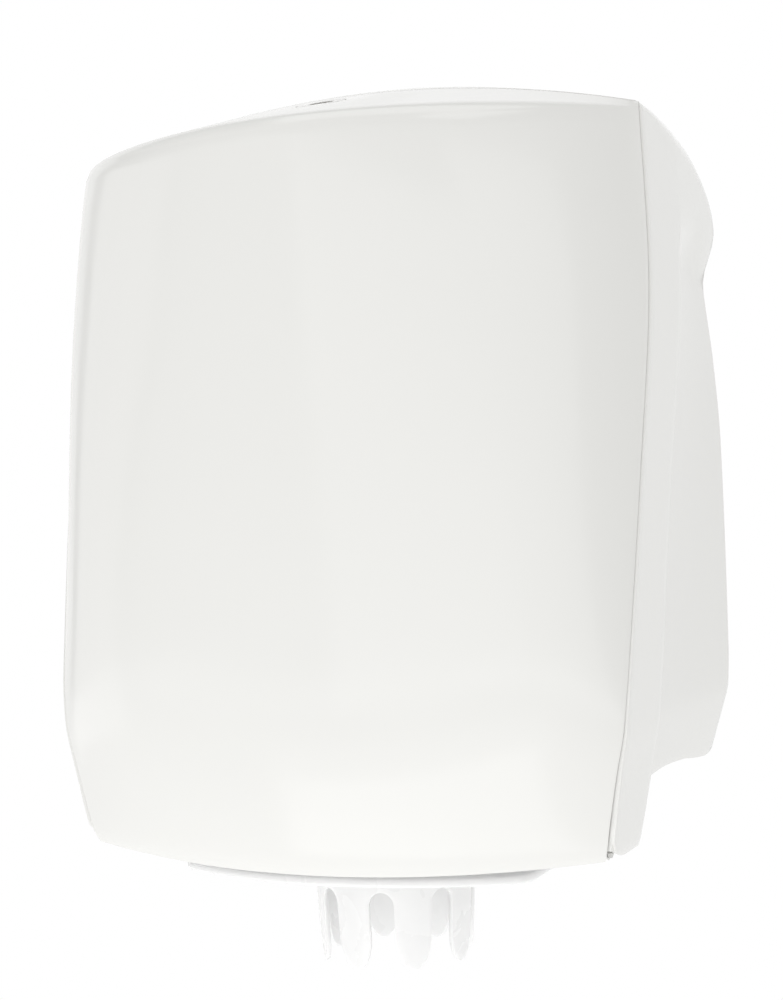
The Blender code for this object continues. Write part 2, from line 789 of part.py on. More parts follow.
TRAY_HALF_WIDTH = edge_half_width(-TRAY_DROP) - WALL - TRAY_SIDE_GAP
TRAY_SCREW_FAR = TRAY_HALF_WIDTH - TRAY_SCREW_INSET
TRAY_SCREW_NEAR = TRAY_SCREW_FAR - TRAY_SCREW_PITCH
TRAY_SCREW_PLACES = [(side * x, -TRAY_SCREW_DROP) for side in (-1, 1) for x in (TRAY_SCREW_NEAR, TRAY_SCREW_FAR)]
WELL_HALF_WIDTH = TRAY_HALF_WIDTH - WELL_INSET
PLATE_SCREW_PLACES = [
    (side * (WELL_HALF_WIDTH - PLATE_SCREW_INSET), -NOZZLE_DEPTH - ahead)
    for side in (-1, 1)
    for ahead in (PLATE_SCREW_AHEAD, -PLATE_SCREW_BEHIND)
]
HINGE_DEPTH = edge_depth(-HINGE_DROP) - HINGE_SET_BACK
EAR_LUG_OUTER = band_half_width(-HINGE_DROP) - EAR_LUG_INSET
BRIDGE_OUTER = band_half_width(BRIDGE_LOW - HINGE_DROP) - WALL / 4
TRAY = {
    "half_width": TRAY_HALF_WIDTH,
    "front": front_depth(-TRAY_DROP) - WALL - TRAY_FRONT_GAP,
    "rear": TRAY_BACK,
    "swell": TRAY_BOW,
    "round_off": TRAY_ROUND,
}
WELL = {
    "half_width": WELL_HALF_WIDTH,
    "front": NOZZLE_DEPTH + WELL_AHEAD,
    "rear": NOZZLE_DEPTH - WELL_BEHIND,
    "swell": WELL_BOW,
    "round_off": WELL_ROUND,
}
LOCK_DEPTH = TOP_DEPTH + LOCK_FORWARD
LOCK_PLACE = Matrix.Translation((0, -LOCK_DEPTH, roof_middle(LOCK_DEPTH))) @ Matrix.Rotation(ROOF_SLOPE, 4, "X")


def hinge_outline_housing():
    """Side view of the housing's hinge lug: a round eye and a bridge up to the band."""
    y, z = -HINGE_DEPTH, -HINGE_DROP
    points = []
    for degrees in range(120, 341, 20):
        angle = math.radians(degrees)
        points.append((y + LUG_RADIUS * math.cos(angle), z + LUG_RADIUS * math.sin(angle)))
    points += [
        (y + BRIDGE_FRONT, z + BRIDGE_LOW),
        (y + BRIDGE_REAR, z + BRIDGE_LOW),
        (y + BRIDGE_REAR, z + BRIDGE_HIGH),
        (y + BRIDGE_FRONT, z + BRIDGE_HIGH),
    ]
    return points


def cover_depth(x, z):
    """Depth of the cover's outer face, below its rounded top edge."""
    edge = edge_depth(z) + cover_edge_gap(z)
    return edge + (front_depth(z) - edge) * bow(x / edge_half_width(z), z)


def hinge_outline_cover(x):
    """Side view of the cover's hinge lug: a round eye on a web that grows out of the front."""
    y, z = -HINGE_DEPTH, -HINGE_DROP
    low, high = z - COVER_LUG_LOW, z + COVER_LUG_HIGH
    points = [(-cover_depth(x, high) + WALL / 2, high), (-cover_depth(x, low) + WALL / 2, low)]
    for degrees in range(260, 401, 20):
        angle = math.radians(degrees)
        points.append((y + LUG_RADIUS * math.cos(angle), z + LUG_RADIUS * math.sin(angle)))
    points.append((y - LUG_RADIUS, high))
    return points


def both_sides(inner, outer):
    """The span between two distances from the middle, on the left and on the right."""
    return (("left", -outer, -inner), ("right", inner, outer))


def make_housing(material):
    housing = make_shell("back_housing", housing_shell_mesh(), material)
    eye = -HINGE_DEPTH, -HINGE_DROP
    for side, low, high in both_sides(EAR_LUG_OUTER - EAR_LUG_THICK, EAR_LUG_OUTER):
        join(housing, prism_mesh(f"hinge_lug_{side}", hinge_outline_housing(), low, high, ACROSS))
    for side, low, high in both_sides(EAR_LUG_OUTER - EAR_LUG_THICK / 2, BRIDGE_OUTER):
        corner_low = (low, eye[0] + BRIDGE_FRONT, eye[1] + BRIDGE_LOW)
        corner_high = (high, eye[0] + BRIDGE_REAR, eye[1] + BRIDGE_HIGH)
        join(housing, box_mesh(f"hinge_bridge_{side}", corner_low, corner_high))
    for side, low, high in both_sides(EAR_LUG_OUTER - EAR_LUG_THICK, EAR_LUG_OUTER):
        hole_mesh = cylinder_mesh(f"lug_hole_{side}", PIN_RADIUS + CLEARANCE, low - OVERRUN, high + OVERRUN)
        cut(housing, hole_mesh).matrix_local = Matrix.Translation((0, *eye)) @ ACROSS
    boss_low, boss_high = WALL / 2, WALL + BOSS_HEIGHT
    for number, (x, z) in enumerate(TRAY_SCREW_PLACES, 1):
        boss = cylinder_mesh(f"tray_boss_{number}", BOSS_RADIUS, boss_low, boss_high, CIRCLE_STEPS // 2)
        join(housing, boss).matrix_local = pointing((0, -1, 0), (x, 0, z))
        top = (x, -boss_high, z)
        hole(housing, f"tray_boss_hole_{number}", SCREW_HOLE, top, (0, -1, 0), BOSS_HEIGHT)
    rib_reach = BODY_REACH - RIB_END_GAP
    for number, side in enumerate((-1, 1), 1):
        middle = side * RIB_HALF_SPAN
        low = (middle - RIB_THICK / 2, -WALL - RIB_HEIGHT, -rib_reach)
        high = (middle + RIB_THICK / 2, -WALL / 2, rib_reach)
        join(housing, box_mesh(f"back_rib_{number}", low, high))
    for name, x, z in keyhole_places():
        cut(housing, prism_mesh(name, keyhole_outline(x, z), -OVERRUN, WALL + OVERRUN, ALONG_Y))
    boss_bottom, boss_top = -CATCH_DROP + CLEARANCE, -CATCH_BOSS_TOP
    for number, side in enumerate((-1, 1), 1):
        place = LOCK_PLACE @ Matrix.Translation((side * CATCH_SCREW_SPREAD, CATCH_SCREW_REACH, 0))
        boss = cylinder_mesh(f"catch_boss_{number}", CATCH_BOSS_RADIUS, boss_bottom, boss_top, CIRCLE_STEPS // 2)
        join(housing, boss).matrix_local = place
        top = boss_bottom + CATCH_SCREW_LENGTH - CATCH_THICK
        bore = cylinder_mesh(f"catch_boss_hole_{number}", SCREW_HOLE, boss_bottom - OVERRUN, top, CIRCLE_STEPS // 2)
        cut(housing, bore).matrix_local = place
    return housing


def keyhole_places():
    for side, x in (("left", -KEYHOLE_HALF_SPAN), ("right", KEYHOLE_HALF_SPAN)):
        for level, z in (("top", KEYHOLE_HIGH), ("bottom", -KEYHOLE_LOW)):
            yield f"keyhole_{level}_{side}", x, z


def keyhole_outline(x, z):
    """Round entry with a narrower slot above it, drawn anticlockwise seen from the front."""
    points = []
    mouth = math.asin(KEYHOLE_SLOT_RADIUS / KEYHOLE_RADIUS)
    start, end = math.radians(90) + mouth, math.radians(450) - mouth
    for step in range(15):
        angle = lerp(start, end, step / 14)
        points.append((x + KEYHOLE_RADIUS * math.cos(angle), z + KEYHOLE_RADIUS * math.sin(angle)))
    for step in range(7):
        angle = math.radians(180) * step / 6
        rise = z + KEYHOLE_RISE
        points.append((x + KEYHOLE_SLOT_RADIUS * math.cos(angle), rise + KEYHOLE_SLOT_RADIUS * math.sin(angle)))
    return points


def make_cover(material):
    cover = make_shell("front_cover", cover_shell_mesh(), material)
    cut(cover, parting_block_mesh())
    lug_outer = EAR_LUG_OUTER - EAR_LUG_THICK - CLEARANCE
    for side, low, high in both_sides(lug_outer - COVER_LUG_THICK, lug_outer):
        join(cover, prism_mesh(f"cover_lug_{side}", hinge_outline_cover(lug_outer), low, high, ACROSS))
        hole_mesh = cylinder_mesh(f"cover_hole_{side}", PIN_RADIUS + CLEARANCE, low - OVERRUN, high + OVERRUN)
        cut(cover, hole_mesh).matrix_local = Matrix.Translation((0, -HINGE_DEPTH, -HINGE_DROP)) @ ACROSS
    pocket = -LOCK_FLANGE_THICK - CLEARANCE
    seat = cylinder_mesh("lock_seat", LOCK_SEAT_RADIUS, pocket - LOCK_SEAT_THICK, pocket + CLEARANCE)
    join(cover, seat).matrix_local = LOCK_PLACE
    recess = cylinder_mesh("lock_pocket", LOCK_FLANGE_RADIUS + CLEARANCE, pocket, LOCK_SEAT_THICK)
    cut(cover, recess).matrix_local = LOCK_PLACE
    bore = cylinder_mesh("lock_bore", LOCK_BODY_RADIUS + CLEARANCE, -LOCK_BODY_LENGTH, LOCK_SEAT_THICK)
    cut(cover, bore).matrix_local = LOCK_PLACE
    move_origin(cover, (0, -HINGE_DEPTH, -HINGE_DROP))
    return cover


def make_hinge_pins(steel):
    axis = Matrix.Translation((0, -HINGE_DEPTH, -HINGE_DROP)) @ ACROSS
    lug_inner = EAR_LUG_OUTER - EAR_LUG_THICK - CLEARANCE - COVER_LUG_THICK
    washer_outer = lug_inner - CLEARANCE
    tip = washer_outer - HINGE_WASHER_THICK - OVERRUN
    under_head = EAR_LUG_OUTER + CLEARANCE
    for side, sign in (("left", -1), ("right", 1)):
        profile = [
            (0, under_head + PIN_HEAD_THICK),
            (PIN_HEAD_RADIUS, under_head + PIN_HEAD_THICK),
            (PIN_HEAD_RADIUS, under_head),
            (PIN_RADIUS, under_head),
            (PIN_RADIUS, tip),
            (0, tip),
        ]
        pin = turned_object(f"hinge_pin_{side}", profile, CIRCLE_STEPS, PARTS)
        turn = Matrix.Rotation(0 if sign > 0 else math.pi, 4, "X")
        pin.matrix_local = axis @ turn
        finish_part(pin, steel)
        bore = PIN_RADIUS + CLEARANCE
        inner = washer_outer - HINGE_WASHER_THICK
        ring = [(HINGE_WASHER_RADIUS, washer_outer), (HINGE_WASHER_RADIUS, inner), (bore, inner), (bore, washer_outer)]
        washer = turned_object(f"hinge_washer_{side}", ring, CIRCLE_STEPS, PARTS)
        washer.matrix_local = axis @ turn
        finish_part(washer, steel)


def make_tray(material, steel):
    shelf = -TRAY_DROP
    mouth = bowed_outline(**WELL)
    wall = bowed_outline(**WELL, inset=WELL_DRAFT)
    floor = bowed_outline(**WELL, inset=WELL_DRAFT + EDGE_ROUND)
    loops = [
        at_height(bowed_outline(**TRAY), shelf + TRAY_RIM),
        at_height(bowed_outline(**TRAY), shelf + EDGE_ROUND),
        at_height(bowed_outline(**TRAY, inset=EDGE_ROUND), shelf),
        at_height(mouth, shelf),
        at_height(wall, WELL_FLOOR + EDGE_ROUND),
        at_height(floor, WELL_FLOOR),
        at_height(circle_towards(floor, -NOZZLE_DEPTH, RING_OUTER + FLOOR_HOLE_GAP), WELL_FLOOR),
    ]
    tray = add_object("roll_tray", loft_mesh("roll_tray", loops, closed=False), PARTS)
    finish_part(tray, material)
    shell = tray.modifiers.new("wall", "SOLIDIFY")
    shell.thickness = TRAY_THICK
    shell.offset = -1.0
    shell.use_even_offset = True
    for side, low, high in both_sides(TRAY_SCREW_NEAR - UPSTAND_MARGIN, TRAY_SCREW_FAR + UPSTAND_MARGIN):
        corner_low = (low, -TRAY_BACK - TRAY_THICK, shelf + EDGE_ROUND)
        corner_high = (high, -TRAY_BACK, shelf + UPSTAND_HEIGHT)
        join(tray, box_mesh(f"tray_upstand_{side}", corner_low, corner_high))
    face = -TRAY_BACK - TRAY_THICK
    for number, (x, z) in enumerate(TRAY_SCREW_PLACES, 1):
        hole(tray, f"tray_hole_{number}", SCREW_HOLE, (x, face, z), (0, -1, 0), TRAY_THICK + OVERRUN)
        place = (x, face - CLEARANCE, z)
        make_screw(f"tray_screw_{number}", place, (0, -1, 0), TRAY_SCREW_LENGTH, steel)
    top = WELL_FLOOR + TRAY_THICK
    for number, (x, y) in enumerate(PLATE_SCREW_PLACES, 1):
        hole(tray, f"floor_hole_{number}", SCREW_HOLE, (x, y, top), (0, 0, 1), TRAY_THICK + OVERRUN)
        make_screw(f"plate_screw_{number}", (x, y, top + CLEARANCE), (0, 0, 1), PLATE_SCREW_LENGTH, steel)
    return tray


def ring_screw_places():
    for number in range(RING_SCREWS):
        angle = math.radians(90) + 2 * math.pi * number / RING_SCREWS
        x, y = RING_SCREW_RADIUS * math.cos(angle), RING_SCREW_RADIUS * math.sin(angle)
        yield number + 1, x, y - NOZZLE_DEPTH


def make_bottom_plate(material):
    rim = bowed_outline(**WELL)
    bottom = -PLATE_BOTTOM
    bore = circle_towards(rim, -NOZZLE_DEPTH, COLLAR_RADIUS + NOZZLE_SLACK)
    loops = [at_height(bore, PLATE_TOP), at_height(rim, PLATE_TOP)]
    for step in range(ROUND_STEPS):
        angle = math.radians(90) * step / (ROUND_STEPS - 1)
        inset = EDGE_ROUND * (1.0 - math.cos(angle))
        loops.append(at_height(bowed_outline(**WELL, inset=inset), bottom + EDGE_ROUND * (1.0 - math.sin(angle))))
    loops.append(at_height(bore, bottom))
    plate = add_object("bottom_plate", loft_mesh("bottom_plate", loops, closed=True), PARTS)
    finish_part(plate, material)
    depth = PLATE_SCREW_LENGTH - TRAY_THICK
    for number, (x, y) in enumerate(PLATE_SCREW_PLACES, 1):
        hole(plate, f"plate_hole_{number}", SCREW_HOLE, (x, y, PLATE_TOP), (0, 0, 1), depth)
    depth = RING_SCREW_LENGTH - RING_THICK - FLANGE_THICK - CLEARANCE
    for number, x, y in ring_screw_places():
        hole(plate, f"ring_plate_hole_{number}", SCREW_HOLE, (x, y, PLATE_TOP), (0, 0, 1), depth)
    return plate


def make_ring(material, steel):
    """Clamp ring that holds the nozzle's flange down, with its screws."""
    low = PLATE_TOP + CLEARANCE
    under = low + FLANGE_THICK + CLEARANCE
    top = under + RING_THICK
    profile = [
        (RING_OUTER, top),
        (RING_OUTER, low),
        (RING_STEP, low),
        (RING_STEP, under),
        (RING_INNER, under),
        (RING_INNER, top),
    ]
    ring = turned_object("nozzle_ring", profile, BIG_CIRCLE_STEPS, PARTS)
    ring.location = (0, -NOZZLE_DEPTH, 0)
    finish_part(ring, material)
    for number, x, y in ring_screw_places():
        hole(ring, f"ring_hole_{number}", SCREW_HOLE, (x, y, top), (0, 0, 1), top - low + OVERRUN)
        make_screw(f"ring_screw_{number}", (x, y, top + CLEARANCE), (0, 0, 1), RING_SCREW_LENGTH, steel)
    return ring


def finger_row(share):
    """Half width of a finger along its length: an arch at the slot, a taper and a round tip."""
    length = FINGER_TIP - FINGER_ROOT
    down = share * length
    half_pitch = math.pi * COLLAR_RADIUS / FINGERS
    half = lerp(FINGER_HALF_WIDTH, TIP_HALF_WIDTH, share)
    if down < SLOT_ARCH:
        half = half_pitch - (half_pitch - half) * math.sqrt(1.0 - (1.0 - down / SLOT_ARCH) ** 2)
    left = length - down
    if left < TIP_ROUND:
        half *= math.sqrt(max(0.04, 1.0 - (1.0 - left / TIP_ROUND) ** 2))
    return half


def finger_shares():
    """Steps down a finger, closer together in the slot's arch and in the tip."""
    length = FINGER_TIP - FINGER_ROOT
    arch = [SLOT_ARCH * share / length for share in (0.0, 0.08, 0.35, 1.0)]
    tip = [1.0 - TIP_ROUND * share / length for share in (1.0, 0.6, 0.3, 0.1, 0.0)]
    middle = [lerp(arch[-1], tip[0], share) for share in (0.5,)]
    return arch + middle + tip


def nozzle_mesh():
    """Collar with eight fingers that close in towards their tips."""
    shape = bmesh.new()
    pitch = 2 * math.pi / FINGERS
    flange_top = PLATE_TOP + CLEARANCE + FLANGE_THICK
    columns = FINGERS * FINGER_COLUMN_STEPS
    rings = []
    for z in (flange_top, -PLATE_BOTTOM, -FINGER_ROOT):
        ring = []
        for k in range(columns):
            angle = NOZZLE_TURN + pitch * (k / FINGER_COLUMN_STEPS - 0.5)
            ring.append(shape.verts.new((COLLAR_RADIUS * math.sin(angle), -COLLAR_RADIUS * math.cos(angle), z)))
        rings.append(ring)
    for upper, lower in zip(rings, rings[1:]):
        for k in range(columns):
            after = (k + 1) % columns
            shape.faces.new((upper[k], lower[k], lower[after], upper[after]))
    for finger in range(FINGERS):
        middle = NOZZLE_TURN + pitch * finger
        first = finger * FINGER_COLUMN_STEPS
        above = [rings[-1][(first + k) % columns] for k in range(FINGER_COLUMN_STEPS + 1)]
        for share in finger_shares()[1:]:
            radius = lerp(COLLAR_RADIUS, TIP_RADIUS, share**1.5)
            half = finger_row(share)
            z = lerp(-FINGER_ROOT, -FINGER_TIP, share)
            row = []
            for k in range(FINGER_COLUMN_STEPS + 1):
                angle = middle + (2 * k / FINGER_COLUMN_STEPS - 1) * half / radius
                row.append(shape.verts.new((radius * math.sin(angle), -radius * math.cos(angle), z)))
            for k in range(FINGER_COLUMN_STEPS):
                shape.faces.new((above[k], row[k], row[k + 1], above[k + 1]))
            above = row
    return mesh_from("nozzle", shape)


def make_nozzle(material):
    nozzle = add_object("nozzle", nozzle_mesh(), PARTS)
    nozzle.location = (0, -NOZZLE_DEPTH, 0)
    finish_part(nozzle, material)
    shell = nozzle.modifiers.new("wall", "SOLIDIFY")
    shell.thickness = NOZZLE_WALL
    shell.offset = -1.0
    shell.use_even_offset = True
    low = PLATE_TOP + CLEARANCE
    inner = COLLAR_RADIUS - NOZZLE_WALL / 2
    profile = [
        (FLANGE_RADIUS, low + FLANGE_THICK),
        (FLANGE_RADIUS, low),
        (inner, low),
        (inner, low + FLANGE_THICK),
    ]
    flange = turned_object("nozzle_flange", profile, BIG_CIRCLE_STEPS, CUTTERS)
    flange_mesh = as_mesh(flange, CUTTERS)
    flange_mesh.location = (0, -NOZZLE_DEPTH, 0)
    flange_mesh.hide_render = True
    flange_mesh.display_type = "WIRE"
    step = nozzle.modifiers.new("flange", "BOOLEAN")
    step.operation = "UNION"
    step.solver = "EXACT"
    step.object = flange_mesh
    return nozzle


def cam_outline():
    """Cam seen from above with its arm towards the wall: a hub, an arm and a hooked finger."""
    inner = CAM_REACH - CAM_FINGER_WIDTH
    straight_up = math.radians(90)
    near = math.acos(CAM_HALF_WIDTH / inner)
    far = math.acos(CAM_HALF_WIDTH / CAM_REACH)
    hub = math.acos(CAM_HALF_WIDTH / CAM_HUB_RADIUS)
    tip = straight_up - CAM_FINGER_ANGLE
    points = []

    def arc(radius, start, end, steps):
        for step in range(steps + 1):
            angle = lerp(start, end, step / steps)
            points.append((radius * math.cos(angle), radius * math.sin(angle)))

    arc(inner, near, tip, 5)
    arc(CAM_REACH, tip, math.pi - far, 9)
    arc(CAM_HUB_RADIUS, math.pi - hub, 2 * math.pi + hub, 18)
    return points


def make_lock(plastic, steel):
    """Lock body, turning plug, nut and cam, in the frame of the cover's sloping roof."""
    frame = bpy.data.objects.new("lock_axis", None)
    PARTS.objects.link(frame)
    frame.matrix_local = LOCK_PLACE
    top = -LOCK_FLANGE_THICK
    bore = LOCK_PLUG_RADIUS + CLEARANCE
    profile = [
        (LOCK_FLANGE_RADIUS - EDGE_ROUND / 2, 0),
        (LOCK_FLANGE_RADIUS, -EDGE_ROUND / 2),
        (LOCK_FLANGE_RADIUS, top),
        (LOCK_BODY_RADIUS, top),
        (LOCK_BODY_RADIUS, -LOCK_BODY_LENGTH),
        (bore, -LOCK_BODY_LENGTH),
        (bore, 0),
    ]
    body = turned_object("lock_body", profile, CIRCLE_STEPS, PARTS, frame)
    finish_part(body, steel)
    end = -LOCK_BODY_LENGTH - CLEARANCE
    plug_mesh = cylinder_mesh("lock_plug", LOCK_PLUG_RADIUS, end, -PLUG_SINK)
    plug = add_object("lock_plug", plug_mesh, PARTS, frame)
    finish_part(plug, steel)
    half = (KEY_SLOT_WIDTH / 2, KEY_SLOT_LENGTH / 2)
    slot = box_mesh("key_slot", (-half[0], -half[1], -KEY_SLOT_DEPTH), (half[0], half[1], OVERRUN))
    cut(plug, slot, frame)
    cam_top = end - CLEARANCE
    cam_bottom = cam_top - CAM_THICK
    hole(plug, "plug_hole", SCREW_HOLE, (0, 0, end), (0, 0, -1), CAM_SCREW_LENGTH - CAM_THICK, frame)
    quarter = Matrix.Rotation(math.radians(90), 4, "Z")
    cam_mesh = prism_mesh("lock_cam", cam_outline(), cam_bottom, cam_top, quarter)
    cam = add_object("lock_cam", cam_mesh, PARTS, frame)
    finish_part(cam, steel)
    hole(cam, "cam_hole", SCREW_HOLE, (0, 0, cam_bottom), (0, 0, -1), CAM_THICK + OVERRUN, frame)
    place = (0, 0, cam_bottom - CLEARANCE)
    make_screw("cam_screw", place, (0, 0, -1), CAM_SCREW_LENGTH, steel, frame)
    nut_top = -LOCK_FLANGE_THICK - 2 * CLEARANCE - LOCK_SEAT_THICK
    corner = LOCK_NUT_WIDTH / math.sqrt(3)
    nut_mesh = cylinder_mesh("lock_nut", corner, nut_top - LOCK_NUT_THICK, nut_top, 6)
    nut = add_object("lock_nut", nut_mesh, PARTS, frame)
    finish_part(nut, plastic)
    thread = cylinder_mesh("nut_bore", LOCK_BODY_RADIUS + CLEARANCE, -LOCK_BODY_LENGTH, 0)
    cut(nut, thread, frame)
    return frame


def make_catch(steel):
    """Bent plate under the housing's roof that the cam's finger hooks behind."""
    frame = bpy.data.objects.new("catch_place", None)
    PARTS.objects.link(frame)
    frame.matrix_local = LOCK_PLACE
    top = -CATCH_DROP
    low, high = (-CATCH_HALF_WIDTH, CATCH_NEAR, top - CATCH_THICK), (CATCH_HALF_WIDTH, CATCH_FAR, top)
    catch = add_object("catch_plate", box_mesh("catch_plate", low, high), PARTS, frame)
    finish_part(catch, steel)
    tab_low = (CATCH_TAB_INNER, CATCH_NEAR, -CATCH_TAB_DROP)
    tab_high = (CATCH_TAB_OUTER, CATCH_NEAR + CATCH_THICK, top - CATCH_THICK / 2)
    join(catch, box_mesh("catch_tab", tab_low, tab_high), frame)
    under = top - CATCH_THICK
    for number, side in enumerate((-1, 1), 1):
        place = (side * CATCH_SCREW_SPREAD, CATCH_SCREW_REACH, under)
        hole(catch, f"catch_hole_{number}", SCREW_HOLE, place, (0, 0, -1), CATCH_THICK + OVERRUN, frame)
        head = (place[0], place[1], under - CLEARANCE)
        make_screw(f"catch_screw_{number}", head, (0, 0, -1), CATCH_SCREW_LENGTH, steel, frame)
    return catch


for old in list(bpy.data.objects):
    bpy.data.objects.remove(old)
PARTS = bpy.data.collections.new("centrefeed_roll_dispenser")
CUTTERS = bpy.data.collections.new("cutters")
bpy.context.scene.collection.children.link(PARTS)
bpy.context.scene.collection.children.link(CUTTERS)

SHELL_WHITE = make_material("shell_white", WHITE, 0.2)
TRAY_GREY = make_material("tray_grey", GREY, 0.45)
NOZZLE_WHITE = make_material("nozzle_white", WHITE, 0.3)
SCREW_STEEL = make_material("screw_steel", STEEL, 0.35, 1.0)
make_housing(SHELL_WHITE)
make_cover(SHELL_WHITE)
make_hinge_pins(SCREW_STEEL)
make_tray(TRAY_GREY, SCREW_STEEL)
make_bottom_plate(SHELL_WHITE)
make_ring(TRAY_GREY, SCREW_STEEL)
make_nozzle(NOZZLE_WHITE)
make_lock(TRAY_GREY, SCREW_STEEL)
make_catch(SCREW_STEEL)
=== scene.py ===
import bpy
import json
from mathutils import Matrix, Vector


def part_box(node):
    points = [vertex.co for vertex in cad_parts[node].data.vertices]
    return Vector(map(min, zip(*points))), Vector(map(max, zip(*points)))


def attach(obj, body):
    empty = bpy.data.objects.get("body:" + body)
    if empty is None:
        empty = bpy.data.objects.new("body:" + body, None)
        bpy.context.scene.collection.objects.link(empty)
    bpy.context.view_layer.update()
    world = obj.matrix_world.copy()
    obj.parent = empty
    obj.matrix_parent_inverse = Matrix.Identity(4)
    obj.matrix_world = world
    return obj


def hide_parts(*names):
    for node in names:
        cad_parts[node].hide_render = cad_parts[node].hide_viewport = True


bl_info = {
    "name": "Centrefeed Roll Dispenser",
    "version": (1, 0, 0),
    "blender": (4, 5, 0),
    "location": "3D View > Sidebar > Dispenser",
    "description": "Builds the finished pieces of a wall-mounted centrefeed roll dispenser round its frame",
    "category": "Object",
}

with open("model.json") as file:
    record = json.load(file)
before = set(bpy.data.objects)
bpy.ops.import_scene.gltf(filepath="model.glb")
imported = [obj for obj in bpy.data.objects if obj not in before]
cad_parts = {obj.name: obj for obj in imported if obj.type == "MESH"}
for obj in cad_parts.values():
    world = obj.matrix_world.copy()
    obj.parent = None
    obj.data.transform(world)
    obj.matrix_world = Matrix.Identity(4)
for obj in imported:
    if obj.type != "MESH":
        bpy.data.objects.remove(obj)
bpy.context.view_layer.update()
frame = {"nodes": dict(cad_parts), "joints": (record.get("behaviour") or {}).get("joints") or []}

import json
import math

import bmesh
import bpy
from bpy.props import FloatProperty, FloatVectorProperty, IntProperty, PointerProperty
from bpy.types import Operator, Panel, PropertyGroup
from mathutils import Matrix, Vector

MM = 0.001

# Where the frame puts the moving pieces
JOINTS = {joint["name"]: joint for joint in frame["joints"]}
HINGE = Vector(JOINTS["cover_hinge"]["pos_m"])
LOCK = Vector(JOINTS["lock_turn"]["pos_m"])
LOCK_AXIS = -Vector(JOINTS["lock_turn"]["axis"])
NOZZLE = Vector(JOINTS["nozzle_swivel"]["pos_m"])

# Side edge of the front cover, as shares of the reach, the half width and the edge depth
EDGE_SHARES = (
    (-1.00, 0.852, 0.955), (-0.97, 0.863, 0.970), (-0.91, 0.877, 0.982), (-0.82, 0.897, 0.990),
    (-0.74, 0.916, 0.996), (-0.66, 0.936, 0.998), (-0.57, 0.947, 0.992), (-0.50, 0.953, 0.982),
    (0.00, 0.979, 0.887), (0.50, 0.999, 0.799), (1.00, 0.967, 0.726),
)
# How far the side band stands outside the cover's edge near the hinge
BAND_FLARE_SHARES = ((-0.98, 1.0), (-0.90, 0.83), (-0.80, 0.57), (-0.68, 0.23), (-0.60, 0.08), (-0.50, 0.0))
# Rear edge of the side band, as shares of the reach and of the edge depth
BAND_REAR_SHARES = (
    (-0.98, 0.715), (-0.84, 0.694), (-0.72, 0.684), (-0.55, 0.676),
    (-0.20, 0.634), (0.20, 0.557), (0.60, 0.474), (1.00, 0.398),
)
# Side wall where it meets the wall plane, as shares of the reach and of the rear half width
REAR_SHARES = (
    (-0.86, 0.911), (-0.78, 0.941), (-0.70, 0.970), (-0.64, 0.989), (-0.44, 0.997),
    (0.12, 0.997), (0.35, 0.982), (0.48, 0.967), (0.565, 0.957), (0.60, 0.957),
    (0.67, 0.985), (0.72, 1.002), (0.78, 1.008), (0.90, 1.000),
)
# Middle of the cover's front, as shares of the reach and of the body depth
FRONT_SHARES = (
    (-1.035, 0.906), (-1.01, 0.922), (-0.98, 0.935), (-0.93, 0.950), (-0.86, 0.967),
    (-0.76, 0.984), (-0.62, 0.996), (-0.35, 1.000), (0.60, 0.998), (1.00, 0.990),
)
# How square the cover's shoulders are, as shares of the reach and of the swell
SHOULDER_SHARES = (
    (-1.00, 0.0), (-0.70, 0.20), (-0.40, 0.45), (0.0, 0.50), (0.50, 0.36), (0.94, 0.30), (1.00, 0.08),
)
SHOULDER_POWER = 8
# How far the parting gap has widened, as shares of the reach and of the whole widening
GAP_SHARES = ((-0.95, 1.0), (-0.75, 0.5), (-0.55, 0.0))
# How far the side's lower edge sweeps down towards the band, as shares of its run and of the sweep
SIDE_SWEEP_SHARES = (
    (0.35, 0.0), (0.56, 0.17), (0.74, 0.30), (0.83, 0.38), (0.90, 0.55), (0.965, 0.80), (1.0, 1.0),
)
SIDE_CORNER_SHARE = 0.08
SIDE_DROP_PACE = 1.4
SCOOP_TOP_SHARE = 0.70
SCOOP_FADE_SHARE = 0.16
SCOOP_ARCH_SHARE = 0.06
NOSE_START_SHARE = 0.45
THIN_START_SHARE = 0.86
THIN_RUN_SHARE = 0.10
# How the housing's rows crowd to the wall, and the cover's rows and columns to its rims
HOUSING_ROW_POWER = 1.35
ROW_CROWD_SHARE = 0.06
COLUMN_CROWD_SHARE = 0.30
# The housing's flat back: where its inner rim lies, as a share of the outer one
BACK_SHARE = 0.965
RIGHT_ANGLE = math.radians(90)
SHARP_ANGLE = math.radians(40)
TURNED_ANGLE = math.radians(30)
# How much of each straight side the arc at a profile's corner may take
ARC_SHARE = 0.45
# Corners closer than this are merged, and slivers shorter than this are dissolved
MERGE_DISTANCE = 0.001 * MM
SLIVER_LENGTH = 0.0001 * MM
MIRROR_MERGE = 0.01 * MM
RIM_ANGLES = [RIGHT_ANGLE * k / 4 for k in range(5)]
WHITE = (1.0, 1.0, 1.0, 1.0)


